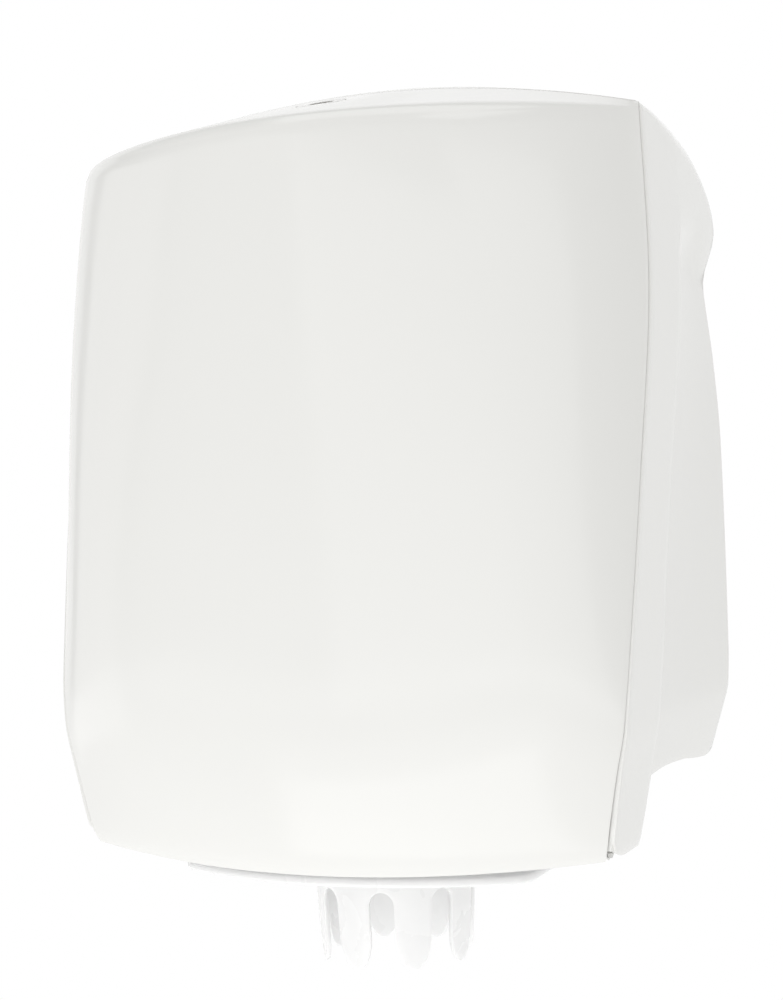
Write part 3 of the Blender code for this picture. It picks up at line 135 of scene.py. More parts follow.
class DispenserBody(PropertyGroup):
    """Sizes of the housing and the cover."""

    half_width: FloatProperty(
        name="Half width", default=152 * MM, unit="LENGTH", description="Widest half width"
    )
    reach: FloatProperty(
        name="Reach", default=170 * MM, unit="LENGTH", description="Half height of the cover"
    )
    depth: FloatProperty(name="Depth", default=217.5 * MM, unit="LENGTH", description="Depth out of the wall")
    edge_depth: FloatProperty(
        name="Edge depth", default=180.96 * MM, unit="LENGTH", description="Depth of the parting line"
    )
    rear_half_width: FloatProperty(
        name="Rear half width", default=146.5 * MM, unit="LENGTH", description="Half width at the wall"
    )
    wall: FloatProperty(
        name="Wall", default=2.6 * MM, unit="LENGTH", description="Wall thickness of both shells"
    )
    parting_gap: FloatProperty(
        name="Parting gap", default=0.4 * MM, unit="LENGTH", description="Gap round the cover"
    )
    low_gap: FloatProperty(
        name="Low gap", default=1.1 * MM, unit="LENGTH", description="Gap at the cover's bottom corners"
    )
    rim_round: FloatProperty(
        name="Rim rounding", default=0.7 * MM, unit="LENGTH", description="Rounding of open rims"
    )
    scoop_depth: FloatProperty(
        name="Scoop depth", default=7 * MM, unit="LENGTH", description="How far the sides are scooped"
    )


class DispenserNozzle(PropertyGroup):
    """Sizes of the finger nozzle."""

    fingers: IntProperty(name="Fingers", default=8, min=4, max=16, description="Number of sprung fingers")
    collar_radius: FloatProperty(
        name="Collar radius", default=39.2 * MM, unit="LENGTH", description="Outer radius of the collar"
    )
    tip_radius: FloatProperty(
        name="Tip radius", default=36.9 * MM, unit="LENGTH", description="Radius at the finger tips"
    )
    wall: FloatProperty(
        name="Wall", default=2.0 * MM, unit="LENGTH", description="Wall of the collar and fingers"
    )
    finger_root: FloatProperty(
        name="Finger root", default=193 * MM, unit="LENGTH", description="Drop of the fingers' roots"
    )
    finger_tip: FloatProperty(
        name="Finger tip", default=231 * MM, unit="LENGTH", description="Drop of the fingers' tips"
    )


class DispenserFinish(PropertyGroup):
    """Colours and gloss of the pieces."""

    shell: FloatVectorProperty(
        name="Shell", subtype="COLOR", size=4, default=(0.812, 0.810, 0.786, 1),
        description="White of the shells"
    )
    nozzle: FloatVectorProperty(
        name="Nozzle", subtype="COLOR", size=4, default=(0.90, 0.90, 0.89, 1),
        description="White of the nozzle and the plate"
    )
    tray: FloatVectorProperty(
        name="Tray", subtype="COLOR", size=4, default=(0.60, 0.61, 0.61, 1),
        description="Grey of the tray and ring"
    )
    steel: FloatVectorProperty(
        name="Steel", subtype="COLOR", size=4, default=(0.62, 0.62, 0.60, 1), description="Zinc-plated steel"
    )
    lock: FloatVectorProperty(
        name="Lock", subtype="COLOR", size=4, default=(0.72, 0.71, 0.69, 1), description="Nickel of the lock"
    )
    shell_roughness: FloatProperty(
        name="Shell roughness", default=0.16, min=0, max=1, description="Roughness of the moulded gloss"
    )


class DispenserStage(PropertyGroup):
    """Camera, floor and lamps."""

    lens: FloatProperty(name="Lens", default=66.8, description="Focal length in millimetres")
    camera: FloatVectorProperty(
        name="Camera", subtype="TRANSLATION", default=(0.3712, -0.9531, -0.0064),
        description="Place of the camera"
    )
    turn: FloatProperty(
        name="Turn", default=math.radians(23.41), subtype="ANGLE",
        description="Turn of the view towards the left"
    )
    roll: FloatProperty(
        name="Roll", default=math.radians(2.37), subtype="ANGLE", description="Tilt of the picture"
    )
    floor_drop: FloatProperty(name="Floor drop", default=0.62, unit="LENGTH", description="Drop of the floor")
    floor_depth: FloatProperty(
        name="Floor depth", default=1.6, unit="LENGTH", description="Where the floor sweeps up"
    )
    backdrop_glow: FloatProperty(
        name="Backdrop glow", default=1.0, min=0, description="Brightness of the backdrop"
    )
    room_glow: FloatProperty(
        name="Room glow", default=0.5, min=0, description="Brightness of the room around"
    )


def lerp(start, end, share):
    return start + (end - start) * share


def smooth(share):
    share = min(1.0, max(0.0, share))
    return share * share * (3.0 - 2.0 * share)


def follow(table, key, column=1):
    """Value of a table at a key, on a smooth curve through its rows."""
    keys = [row[0] for row in table]
    values = [row[column] for row in table]
    if key <= keys[0]:
        return values[0]
    if key >= keys[-1]:
        return values[-1]
    last = len(keys) - 1
    slopes = []
    for i in range(last + 1):
        low, high = max(0, i - 1), min(last, i + 1)
        slopes.append((values[high] - values[low]) / (keys[high] - keys[low]))
    i = next(i for i in range(last) if key <= keys[i + 1])
    span = keys[i + 1] - keys[i]
    s = (key - keys[i]) / span
    return (
        values[i] * (2 * s**3 - 3 * s**2 + 1)
        + slopes[i] * span * (s**3 - 2 * s**2 + s)
        + values[i + 1] * (3 * s**2 - 2 * s**3)
        + slopes[i + 1] * span * (s**3 - s**2)
    )


class BodyForm:
    """The form of the housing and the cover, worked out from the body's sizes."""

    TOP_EDGE_RISE = 6.0 * MM
    TOP_EDGE_FILLET = 9.0 * MM
    LIP_RISE = 1.5 * MM
    LIP_SAG = 7.1 * MM
    ROOF_SLOPE = math.radians(16.3)
    ROOF_RISE = 20.5 * MM
    ROOF_CREST_DEPTH = 60 * MM
    REAR_ROUND_DEPTH = 45 * MM
    REAR_ROUND_DROP = 25 * MM
    REAR_ROOF_RISE = 27 * MM
    EAR_ROUND = 26 * MM
    CORNER_ROUND = 3.2 * MM
    BAND_FLARE = 1.8 * MM
    BAND_ROUND = 3.2 * MM
    SCOOP_BOW = 1.5 * MM
    SIDE_BOTTOM = 138 * MM
    SIDE_BOTTOM_DROP = 7.5 * MM
    SIDE_SWEEP = 10 * MM
    SIDE_CORNER_RISE = 3.5 * MM
    BAND_BOTTOM = 168.7 * MM
    COVER_SET_IN = 0.8 * MM
    NOSE_RISE = 9.0 * MM
    STRIP_STEP = 0.5 * MM

    def __init__(self, sizes):
        self.sizes = sizes
        self.top_depth = self.edge_depth(sizes.reach)

    def edge_half_width(self, z):
        return self.sizes.half_width * follow(EDGE_SHARES, z / self.sizes.reach, 1)

    def edge_depth(self, z):
        return self.sizes.edge_depth * follow(EDGE_SHARES, z / self.sizes.reach, 2)

    def band_half_width(self, z):
        return self.edge_half_width(z) + self.BAND_FLARE * follow(BAND_FLARE_SHARES, z / self.sizes.reach)

    def band_rear_depth(self, z):
        return self.sizes.edge_depth * follow(BAND_REAR_SHARES, z / self.sizes.reach)

    def rear_half_width(self, z):
        return self.sizes.rear_half_width * follow(REAR_SHARES, z / self.sizes.reach)

    def front_depth(self, z):
        return self.sizes.depth * follow(FRONT_SHARES, z / self.sizes.reach)

    def bow(self, share, z):
        """Forward swell of the cover across its width, one in the middle and nothing at the edge."""
        square = follow(SHOULDER_SHARES, z / self.sizes.reach)
        return 1.0 - (1.0 - square) * share**2 - square * abs(share) ** SHOULDER_POWER

    def roof_middle(self, depth):
        """Height of the roof's middle line at a depth from the wall."""
        top = self.sizes.reach + self.ROOF_RISE
        if depth >= self.top_depth:
            return top - (depth - self.top_depth) * math.tan(self.ROOF_SLOPE)
        run = self.top_depth - self.ROOF_CREST_DEPTH
        climbed = min(run, self.top_depth - depth)
        return top + math.tan(self.ROOF_SLOPE) * (climbed - climbed**2 / (2 * run))

    def rear_drop(self, depth):
        """How far the top falls where it rounds down to the wall."""
        if depth >= self.REAR_ROUND_DEPTH:
            return 0.0
        share = 1.0 - depth / self.REAR_ROUND_DEPTH
        return self.REAR_ROUND_DROP * (1.0 - math.sqrt(max(0.0, 1.0 - share**2)))

    def scoop(self, z, share):
        """Depth of the side scoop at a height, where share runs from the wall to the band."""
        top = SCOOP_TOP_SHARE + SCOOP_ARCH_SHARE * math.sin(math.pi * share)
        window = smooth((top - z / self.sizes.reach) / SCOOP_FADE_SHARE)
        return window * (self.sizes.scoop_depth * share + self.SCOOP_BOW * math.sin(math.pi * share))

    def gap(self, z):
        """Gap between the cover's edge and the band, wider at the bottom corners."""
        return lerp(self.sizes.parting_gap, self.sizes.low_gap, follow(GAP_SHARES, z / self.sizes.reach))

    def side_point(self, kind, place, z):
        """Half width and depth of the housing's side at a height."""
        height = min(z, self.sizes.reach)
        rear = self.band_rear_depth(height)
        wide = self.band_half_width(height)
        if kind == "side":
            half = lerp(self.rear_half_width(height), wide, place) - self.scoop(height, place)
            return half, rear * place
        if kind == "round":
            bend = min(self.BAND_ROUND, self.scoop(height, 1.0))
            half = wide - bend * (1.0 - math.sin(place))
            return half, rear + self.STRIP_STEP + self.BAND_ROUND * (1.0 - math.cos(place))
        start = rear + self.STRIP_STEP + self.BAND_ROUND
        return wide, lerp(start, self.edge_depth(height), place)

    def side_bottom(self, share):
        low = -self.SIDE_BOTTOM - self.SIDE_BOTTOM_DROP * (1.0 - smooth(share * SIDE_DROP_PACE))
        corner = 1.0 - min(1.0, share / SIDE_CORNER_SHARE)
        low += self.SIDE_CORNER_RISE * (1.0 - math.sqrt(1.0 - corner**2))
        return low - self.SIDE_SWEEP * follow(SIDE_SWEEP_SHARES, share)

    def band_bottom(self, place):
        share = max(0.0, (place - NOSE_START_SHARE) / (1.0 - NOSE_START_SHARE))
        return -self.BAND_BOTTOM + self.NOSE_RISE * (1.0 - math.sqrt(1.0 - share**2))


# Making meshes
def link(name, data):
    thing = bpy.data.objects.new(name, data)
    bpy.context.scene.collection.objects.link(thing)
    return thing


def piece(name, shape):
    """New object that holds a worked-out shape."""
    mesh = bpy.data.meshes.new(name)
    shape.to_mesh(mesh)
    shape.free()
    return link(name, mesh)


def span(shape, one, other, flip=False, closed=False):
    """Faces between two rows of points, left open where a point is missing."""
    count = len(one)
    for j in range(count if closed else count - 1):
        k = (j + 1) % count
        corners = (one[j], one[k], other[k], other[j]) if flip else (one[j], other[j], other[k], one[k])
        if None not in corners:
            shape.faces.new(corners)


def settle(thing):
    """Apply an object's modifiers."""
    evaluated = thing.evaluated_get(bpy.context.evaluated_depsgraph_get())
    mesh = bpy.data.meshes.new_from_object(evaluated)
    thing.modifiers.clear()
    thing.data = mesh
    return thing


def shade(thing, angle=SHARP_ANGLE):
    thing.data.shade_smooth()
    thing.data.set_sharp_from_angle(angle=angle)
    return thing


def round_rims(thing, width, angle=SHARP_ANGLE, segments=3):
    bevel = thing.modifiers.new("rims", "BEVEL")
    bevel.width = width
    bevel.segments = segments
    bevel.limit_method = "ANGLE"
    bevel.angle_limit = angle
    bevel.use_clamp_overlap = True
    bevel.miter_outer = "MITER_ARC"
    return thing


def thicken(thing, wall):
    shell = thing.modifiers.new("wall", "SOLIDIFY")
    shell.thickness = wall
    shell.offset = -1.0
    shell.use_even_offset = True
    return thing


def boolean(target, tool, operation):
    """Join a tool to a piece, or cut it out, and remove the tool."""
    step = target.modifiers.new(tool.name, "BOOLEAN")
    step.operation = operation
    step.solver = "EXACT"
    step.object = tool
    bpy.context.view_layer.update()
    settle(target)
    if not target.data.polygons:
        raise RuntimeError(f"nothing is left of {target.name} after {tool.name}")
    bpy.data.objects.remove(tool)
    return target


def box_shape(shape, low, high):
    middle = [(a + b) / 2 for a, b in zip(low, high)]
    size = [b - a for a, b in zip(low, high)]
    place = Matrix.Translation(middle) @ Matrix.Diagonal((*size, 1.0))
    return bmesh.ops.create_cube(shape, size=1.0, matrix=place)["verts"]


def rod_shape(shape, radius, low, high, place=None, steps=48):
    """Closed cylinder along z from low to high, then placed by a matrix."""
    matrix = (place or Matrix.Identity(4)) @ Matrix.Translation((0, 0, (low + high) / 2))
    return bmesh.ops.create_cone(
        shape, cap_ends=True, segments=steps, radius1=radius, radius2=radius, depth=high - low, matrix=matrix
    )["verts"]


def prism_shape(shape, outline, low, high, place):
    """Closed flat outline in x and y, raised along z, then placed by a matrix."""
    corners = [shape.verts.new((x, y, low)) for x, y in outline]
    floor = shape.faces.new(corners)
    grown = bmesh.ops.extrude_face_region(shape, geom=[floor])["geom"]
    lifted = [item for item in grown if isinstance(item, bmesh.types.BMVert)]
    bmesh.ops.translate(shape, verts=lifted, vec=(0, 0, high - low))
    bmesh.ops.recalc_face_normals(shape, faces=shape.faces)
    bmesh.ops.transform(shape, matrix=place, verts=corners + lifted)


def turned(name, profile, place, steps=64):
    """Turned piece: its closed profile runs down the outer side first."""
    shape = bmesh.new()
    verts = [shape.verts.new((x, 0, z)) for x, z in profile]
    edges = [shape.edges.new((a, b)) for a, b in zip(verts, verts[1:] + verts[:1])]
    bmesh.ops.spin(shape, geom=verts + edges, axis=(0, 0, 1), cent=(0, 0, 0), steps=steps, angle=2 * math.pi)
    bmesh.ops.remove_doubles(shape, verts=shape.verts, dist=MERGE_DISTANCE)
    bmesh.ops.dissolve_degenerate(shape, edges=shape.edges, dist=SLIVER_LENGTH)
    loose = [edge for edge in shape.edges if not edge.link_faces]
    bmesh.ops.delete(shape, geom=loose, context="EDGES")
    bmesh.ops.recalc_face_normals(shape, faces=shape.faces)
    bmesh.ops.transform(shape, matrix=place, verts=shape.verts)
    return shade(piece(name, shape), TURNED_ANGLE)


def rounded(points, radius, steps=4):
    """Profile with each corner marked True cut by an arc of a radius."""
    made = []
    count = len(points)
    for k, (x, z, bend) in enumerate(points):
        here = Vector((x, z))
        if not bend:
            made.append((x, z))
            continue
        before = Vector(points[k - 1][:2]) - here
        after = Vector(points[(k + 1) % count][:2]) - here
        cut = min(radius, before.length * ARC_SHARE, after.length * ARC_SHARE)
        start, end = here + before.normalized() * cut, here + after.normalized() * cut
        for step in range(steps + 1):
            s = step / steps
            spot = start * (1 - s) ** 2 + here * 2 * s * (1 - s) + end * s**2
            made.append((spot.x, spot.y))
    return made


def pointing(axis, place):
    """Place that turns +z to an axis and moves the origin to a point."""
    turn = Vector((0, 0, 1)).rotation_difference(Vector(axis)).to_matrix().to_4x4()
    return Matrix.Translation(place) @ turn


ACROSS = Matrix(((0, 0, 1, 0), (1, 0, 0, 0), (0, 1, 0, 0), (0, 0, 0, 1)))


# Node groups shared by the materials
class Wiring:
    """Short way to add and join shader nodes."""

    def __init__(self, tree):
        self.tree = tree
        tree.nodes.clear()

    def add(self, kind, values=None, **settings):
        node = self.tree.nodes.new(kind)
        for key, value in settings.items():
            setattr(node, key, value)
        for key, value in (values or {}).items():
            if isinstance(value, bpy.types.NodeSocket):
                self.tree.links.new(value, node.inputs[key])
            else:
                node.inputs[key].default_value = value
        return node

    def put(self, kind, values=None, output=0, **settings):
        """Add a node and give one of its outputs."""
        return self.add(kind, values, **settings).outputs[output]

    def math(self, operation, one, other):
        return self.put("ShaderNodeMath", {0: one, 1: other}, operation=operation)

    def noise(self, vector, scale, detail, distortion=0.0):
        values = {"Vector": vector, "Scale": scale, "Detail": detail, "Distortion": distortion}
        return self.put("ShaderNodeTexNoise", values, "Fac")

    def spread(self, value, low, high):
        """Where a value lies between low and high, from nothing to one."""
        return self.put("ShaderNodeMapRange", {"Value": value, "From Min": low, "From Max": high}, "Result")

    def bump(self, height, distance, strength=1.0, **under):
        values = {"Strength": strength, "Distance": distance, "Height": height, **under}
        return self.put("ShaderNodeBump", values, "Normal")


FLOAT, COLOUR, VECTOR = "NodeSocketFloat", "NodeSocketColor", "NodeSocketVector"
SKIN_OUTPUTS = {"Colour": COLOUR, "Roughness": FLOAT, "Normal": VECTOR}


def skin_group(name, inputs, wire):
    """Node group that puts out a colour, a roughness and a normal. wire works out the share of
    its second colour, the share of its highest roughness and its normal from the inputs."""
    if name in bpy.data.node_groups:
        return bpy.data.node_groups[name]
    group = bpy.data.node_groups.new(name, "ShaderNodeTree")
    inputs = {"Colour": WHITE, "Second colour": WHITE, "Gloss low": 0.2, "Gloss high": 0.4, **inputs}
    for label, default in inputs.items():
        kind = COLOUR if isinstance(default, tuple) else FLOAT
        socket = group.interface.new_socket(name=label, in_out="INPUT", socket_type=kind)
        socket.default_value = default
    for label, kind in SKIN_OUTPUTS.items():
        group.interface.new_socket(name=label, in_out="OUTPUT", socket_type=kind)
    w = Wiring(group)
    given = w.add("NodeGroupInput").outputs
    share, wiped, normal = wire(w, given, w.put("ShaderNodeTexCoord", output="Object"))
    tint = {0: share, 6: given["Colour"], 7: given["Second colour"]}
    colour = w.put("ShaderNodeMix", tint, 2, data_type="RGBA")
    ends = {"To Min": given["Gloss low"], "To Max": given["Gloss high"]}
    rough = w.put("ShaderNodeMapRange", {"Value": wiped, **ends}, "Result")
    w.add("NodeGroupOutput", dict(zip(SKIN_OUTPUTS, (colour, rough, normal))))
    return group


def moulded_skin():
    """Moulded plastic: cloudy tint, wiped gloss and the slight ripple of a mould."""
    inputs = {
        "Cloud size": 90 * MM,
        "Cloud amount": 0.35,
        "Grain size": 1.2 * MM,
        "Grain height": 0.01 * MM,
        "Ripple size": 50 * MM,
        "Ripple height": 0.02 * MM,
    }

    def wire(w, given, spot):
        def noise(size, **settings):
            return w.noise(spot, w.math("DIVIDE", 1.0, given[size]), **settings)

        clouds = w.spread(noise("Cloud size", detail=4.0, distortion=0.3), 0.3, 0.7)
        wiped = w.spread(noise("Ripple size", detail=5.0, distortion=0.6), 0.35, 0.65)
        waves = w.bump(noise("Ripple size", detail=1.0), given["Ripple height"])
        fine = w.bump(noise("Grain size", detail=2.0), given["Grain height"], Normal=waves)
        return w.math("MULTIPLY", clouds, given["Cloud amount"]), wiped, fine

    return skin_group("moulded skin", inputs, wire)


def brushed_metal():
    """Turned or plated metal: fine lines, dull spots and a slight change of tint."""

    def wire(w, given, spot):
        stretch = w.put("ShaderNodeVectorMath", {0: spot, 1: LINE_STRETCH}, operation="MULTIPLY")
        lines = w.noise(stretch, w.math("DIVIDE", 1.0, given["Line size"]), detail=3.0)
        spots = w.spread(w.noise(spot, SPOTS_PER_METRE, detail=5.0), 0.42, 0.68)
        return spots, spots, w.bump(lines, given["Line height"], strength=0.6)

    return skin_group("brushed metal", {"Line size": 0.4 * MM, "Line height": 0.004 * MM}, wire)


LINE_STRETCH = (1.0, 1.0, 0.08)
SPOTS_PER_METRE = 260.0
THIN_PLASTIC_GLOW = 9 * MM
GLOSS_SPREAD = 0.25


def new_material(name):
    material = bpy.data.materials.new(name)
    material.use_nodes = True
    return material, Wiring(material.node_tree)


def finished(name, group, colour, deep, gloss, metallic=0.0, glow_through=0.0, sizes=None):
    """Material whose colour, roughness and normal come from a node group. deep is the share of its
    colour left in the second one, gloss the lowest and highest roughness, sizes the group's others."""
    if name in bpy.data.materials:
        return bpy.data.materials[name]
    material, w = new_material(name)
    values = {"Colour": colour, "Second colour": (*(channel * deep for channel in colour[:3]), 1.0)}
    values.update(zip(("Gloss low", "Gloss high"), gloss))
    skin = w.add("ShaderNodeGroup", {**values, **(sizes or {})}, node_tree=group).outputs
    look = {
        "Base Color": skin["Colour"],
        "Roughness": skin["Roughness"],
        "Normal": skin["Normal"],
        "Metallic": metallic,
        "Subsurface Weight": glow_through,
        "Subsurface Radius": (1.0, 1.0, 1.0),
        "Subsurface Scale": THIN_PLASTIC_GLOW,
    }
    w.add("ShaderNodeOutputMaterial", {"Surface": w.put("ShaderNodeBsdfPrincipled", look)})
    return material


def shell_white():
    """Gloss white ABS of the housing and the cover."""
    finish = bpy.context.scene.dispenser_finish
    gloss = [finish.shell_roughness * (1.0 + change) for change in (-GLOSS_SPREAD, GLOSS_SPREAD)]
    sizes = {"Ripple height": 0.012 * MM, "Grain height": 0.0015 * MM}
    return finished("shell white", moulded_skin(), finish.shell, deep=0.985, gloss=gloss, sizes=sizes)


def nozzle_white():
    """Softer white polypropylene of the finger nozzle and the bottom plate."""
    white = bpy.context.scene.dispenser_finish.nozzle
    sizes = {"Cloud size": 22 * MM, "Grain height": 0.004 * MM}
    look = {"deep": 0.97, "gloss": (0.22, 0.34), "glow_through": 0.85, "sizes": sizes}
    return finished("nozzle white", moulded_skin(), white, **look)


def tray_grey():
    """Fine-grained grey plastic of the tray, the ring and the nut."""
    grey = bpy.context.scene.dispenser_finish.tray
    sizes = {"Cloud size": 30 * MM, "Grain size": 0.6 * MM, "Grain height": 0.03 * MM}
    return finished("tray grey", moulded_skin(), grey, deep=0.88, gloss=(0.42, 0.55), sizes=sizes)


def screw_steel():
    """Bright zinc plate of the screws, pins, washers, cam and catch."""
    steel = bpy.context.scene.dispenser_finish.steel
    return finished("screw steel", brushed_metal(), steel, deep=0.72, gloss=(0.2, 0.4), metallic=1.0)


def lock_nickel():
    """Polished nickel of the lock's body and plug."""
    nickel = bpy.context.scene.dispenser_finish.lock
    look = {"deep": 0.9, "gloss": (0.12, 0.22), "metallic": 1.0, "sizes": {"Line height": 0.002 * MM}}
    return finished("lock nickel", brushed_metal(), nickel, **look)


def dress(thing, material, body, slot, *nodes):
    """Give a piece its finish and its body, and hide the frame's nodes that it stands for. The slot is not
    used.
    """
    thing.data.materials.clear()
    thing.data.materials.append(material)
    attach(thing, body)
    if nodes:
        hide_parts(*nodes)
    return thing


# Fixed sizes of the housing's fittings, some of them shared with the cover
BOSS_RADIUS = 5.0 * MM
BOSS_HEIGHT = 6.4 * MM
SCREW_HOLE = 1.8 * MM
SCREW_HOLE_STEPS = 24
CORNER_SCREWS = 4
RING_SCREWS = 3
KEYHOLE_HALF_SPAN = 92 * MM
KEYHOLE_LEVELS = (88 * MM, -62 * MM)
KEYHOLE_RADIUS = 5.0 * MM
KEYHOLE_SLOT_RADIUS = 2.6 * MM
KEYHOLE_RISE = 11 * MM
KEYHOLE_STEPS = 32
RIB_THICK = 2.0 * MM
RIB_HEIGHT = 4.0 * MM
RIB_HALF_SPAN = 46 * MM
RIB_REACH = 126 * MM
LUG_RADIUS = 4.4 * MM
# Where the round ends of the hinge lugs start and end, and their step, in degrees
HOUSING_EYE = (120, 340)
COVER_EYE = (260, 400)
HINGE_EYE_STEP = 10
EAR_LUG_INSET = 4.8 * MM
EAR_LUG_THICK = 4.4 * MM
COVER_LUG_THICK = 5.4 * MM
COVER_LUG_LOW = 3.0 * MM
COVER_LUG_HIGH = 11 * MM
CLEARANCE = 0.3 * MM
PIN_HOLE = 2.2 * MM
PIN_HOLE_STEPS = 32
BRIDGE_FRONT = 4.6 * MM
BRIDGE_REAR = 15 * MM
BRIDGE_LOW = 7.5 * MM
BRIDGE_HIGH = 17 * MM
FLANGE_STEPS = 12
FLANGE_TOP_DROP = 118 * MM
FLANGE_SET_BACK = 0.5 * MM
FLANGE_WIDTH = 3.4 * MM
FLANGE_DEPTH = 1.8 * MM
CATCH_BOSS_RADIUS = 4.2 * MM
CATCH_SCREW_SPREAD = 9 * MM
CATCH_SCREW_REACH = 43 * MM
CATCH_DROP = 8 * MM


def middle_of(node):
    """Middle of a node's box in the frame."""
    low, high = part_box(node)
    return (low + high) / 2


def screw_spots(kind, count):
    """Middles of the frame's screws of one kind."""
    return [middle_of(f"{kind}_screw_{number}") for number in range(1, count + 1)]


def lock_place():
    """Place of the lock on the roof, with z out of the roof and y towards the wall."""
    return pointing(LOCK_AXIS, LOCK)


def both_sides(inner, outer):
    return ((-outer, -inner), (inner, outer))


def housing_rows(sides=26, rounds=8, bands=9):
    """Rows from the wall forward: kind and place of each."""
    rows = [("side", (k / sides) ** HOUSING_ROW_POWER) for k in range(sides + 1)]
    rows += [("round", RIGHT_ANGLE * k / rounds) for k in range(rounds + 1)]
    rows += [("band", k / bands) for k in range(1, bands + 1)]
    return rows


def housing_line(form, kind, place, tongue=7, rise=64, corner=12, roof=26):
    """Points of one row, from the lowest point up the side and over to the roof's middle."""

    def side(z):
        half, y = form.side_point(kind, place, z)
        return half, -y, z

    reach = form.sizes.reach
    depth = -side(reach)[1]
    top = reach - form.rear_drop(depth)
    around = lerp(form.EAR_ROUND, form.CORNER_ROUND, smooth(depth / form.top_depth))
    if kind == "side":
        low = form.side_bottom(place)
        points = [None] * tongue
    else:
        low = form.side_bottom(1.0)
        lowest = form.band_bottom(place if kind == "band" else 0.0)
        points = [side(lerp(lowest, low, step / tongue)) for step in range(tongue)]
    points += [side(lerp(low, top - around, step / rise)) for step in range(rise)]
    half = side(top - around)[0]
    swell = lerp(form.REAR_ROOF_RISE, form.roof_middle(depth) - reach, smooth(depth / form.REAR_ROUND_DEPTH))
    for step in range(corner + 1):
        angle = RIGHT_ANGLE * step / corner
        x = half - around * (1.0 - math.cos(angle))
        z = top - around * (1.0 - math.sin(angle))
        z += swell * (1.0 - (x / half) ** 2) * math.sin(angle)
        points.append((x, side(z)[1], z))
    for step in range(1, roof + 1):
        x = lerp(half - around, 0.0, step / roof)
        z = top + swell * (1.0 - (x / half) ** 2)
        points.append((x, side(z)[1], z))
    return points


def housing_skin(form):
    """Outer skin of the housing with its flat back, mirrored to both sides."""
    shape = bmesh.new()
    lines = []
    for kind, place in housing_rows():
        line = housing_line(form, kind, place)
        lines.append([None if point is None else shape.verts.new(point) for point in line])
    for back, front in zip(lines, lines[1:]):
        span(shape, back, front, flip=True)
    rim = [vert for vert in lines[0] if vert is not None]
    inner = [shape.verts.new((vert.co.x * BACK_SHARE, 0, vert.co.z * BACK_SHARE)) for vert in rim]
    for k in range(len(rim) - 1):
        shape.faces.new((rim[k + 1], rim[k], inner[k], inner[k + 1]))
    foot = shape.verts.new((0, 0, inner[0].co.z))
    corner = shape.verts.new((0, 0, rim[0].co.z))
    shape.faces.new((rim[0], corner, foot, inner[0]))
    shape.faces.new([*reversed(inner), foot])
    skin = piece("housing_shell", shape)
    mirror = skin.modifiers.new("both sides", "MIRROR")
    mirror.merge_threshold = MIRROR_MERGE
    mirror.use_clip = True
    return skin


def arc(x, z, radius, start, end, steps):
    """Points of an arc round a middle."""
    angles = [lerp(start, end, step / steps) for step in range(steps + 1)]
    return [(x + radius * math.cos(angle), z + radius * math.sin(angle)) for angle in angles]


def hinge_eye(start, end):
    """Round end of a hinge lug, as points of depth and height."""
    steps = (end - start) // HINGE_EYE_STEP
    return arc(HINGE.y, HINGE.z, LUG_RADIUS, math.radians(start), math.radians(end), steps)


def keyhole_outline(x, z):
    """Round entry with a narrower slot above it."""
    mouth = math.asin(KEYHOLE_SLOT_RADIUS / KEYHOLE_RADIUS)
    entry = arc(x, z, KEYHOLE_RADIUS, RIGHT_ANGLE + mouth, 5 * RIGHT_ANGLE - mouth, KEYHOLE_STEPS)
    return entry + arc(x, z + KEYHOLE_RISE, KEYHOLE_SLOT_RADIUS, 0.0, math.pi, KEYHOLE_STEPS // 2)


def ear_lug_outer(form):
    """Outer face of the housing's hinge lugs, from the middle."""
    return form.band_half_width(HINGE.z) - EAR_LUG_INSET


def ear_flanges(form):
    """Narrow flanges that close the gap behind the cover's lower corners."""
    shape = bmesh.new()
    for side in (-1, 1):
        loops = []
        for step in range(FLANGE_STEPS + 1):
            z = lerp(HINGE.z + MM, -FLANGE_TOP_DROP, step / FLANGE_STEPS)
            outer = form.band_half_width(z) - form.sizes.wall / 2
            front = -form.edge_depth(z) + FLANGE_SET_BACK
            inner, rear = outer - FLANGE_WIDTH, front + FLANGE_DEPTH
            corners = ((outer, front), (inner, front), (inner, rear), (outer, rear))
            loops.append([shape.verts.new((side * x, y, z)) for x, y in corners])
        for low, high in zip(loops, loops[1:]):
            span(shape, low, high, flip=True, closed=True)
        shape.faces.new(reversed(loops[0]))
        shape.faces.new(loops[-1])
    bmesh.ops.recalc_face_normals(shape, faces=shape.faces)
    return piece("flanges", shape)


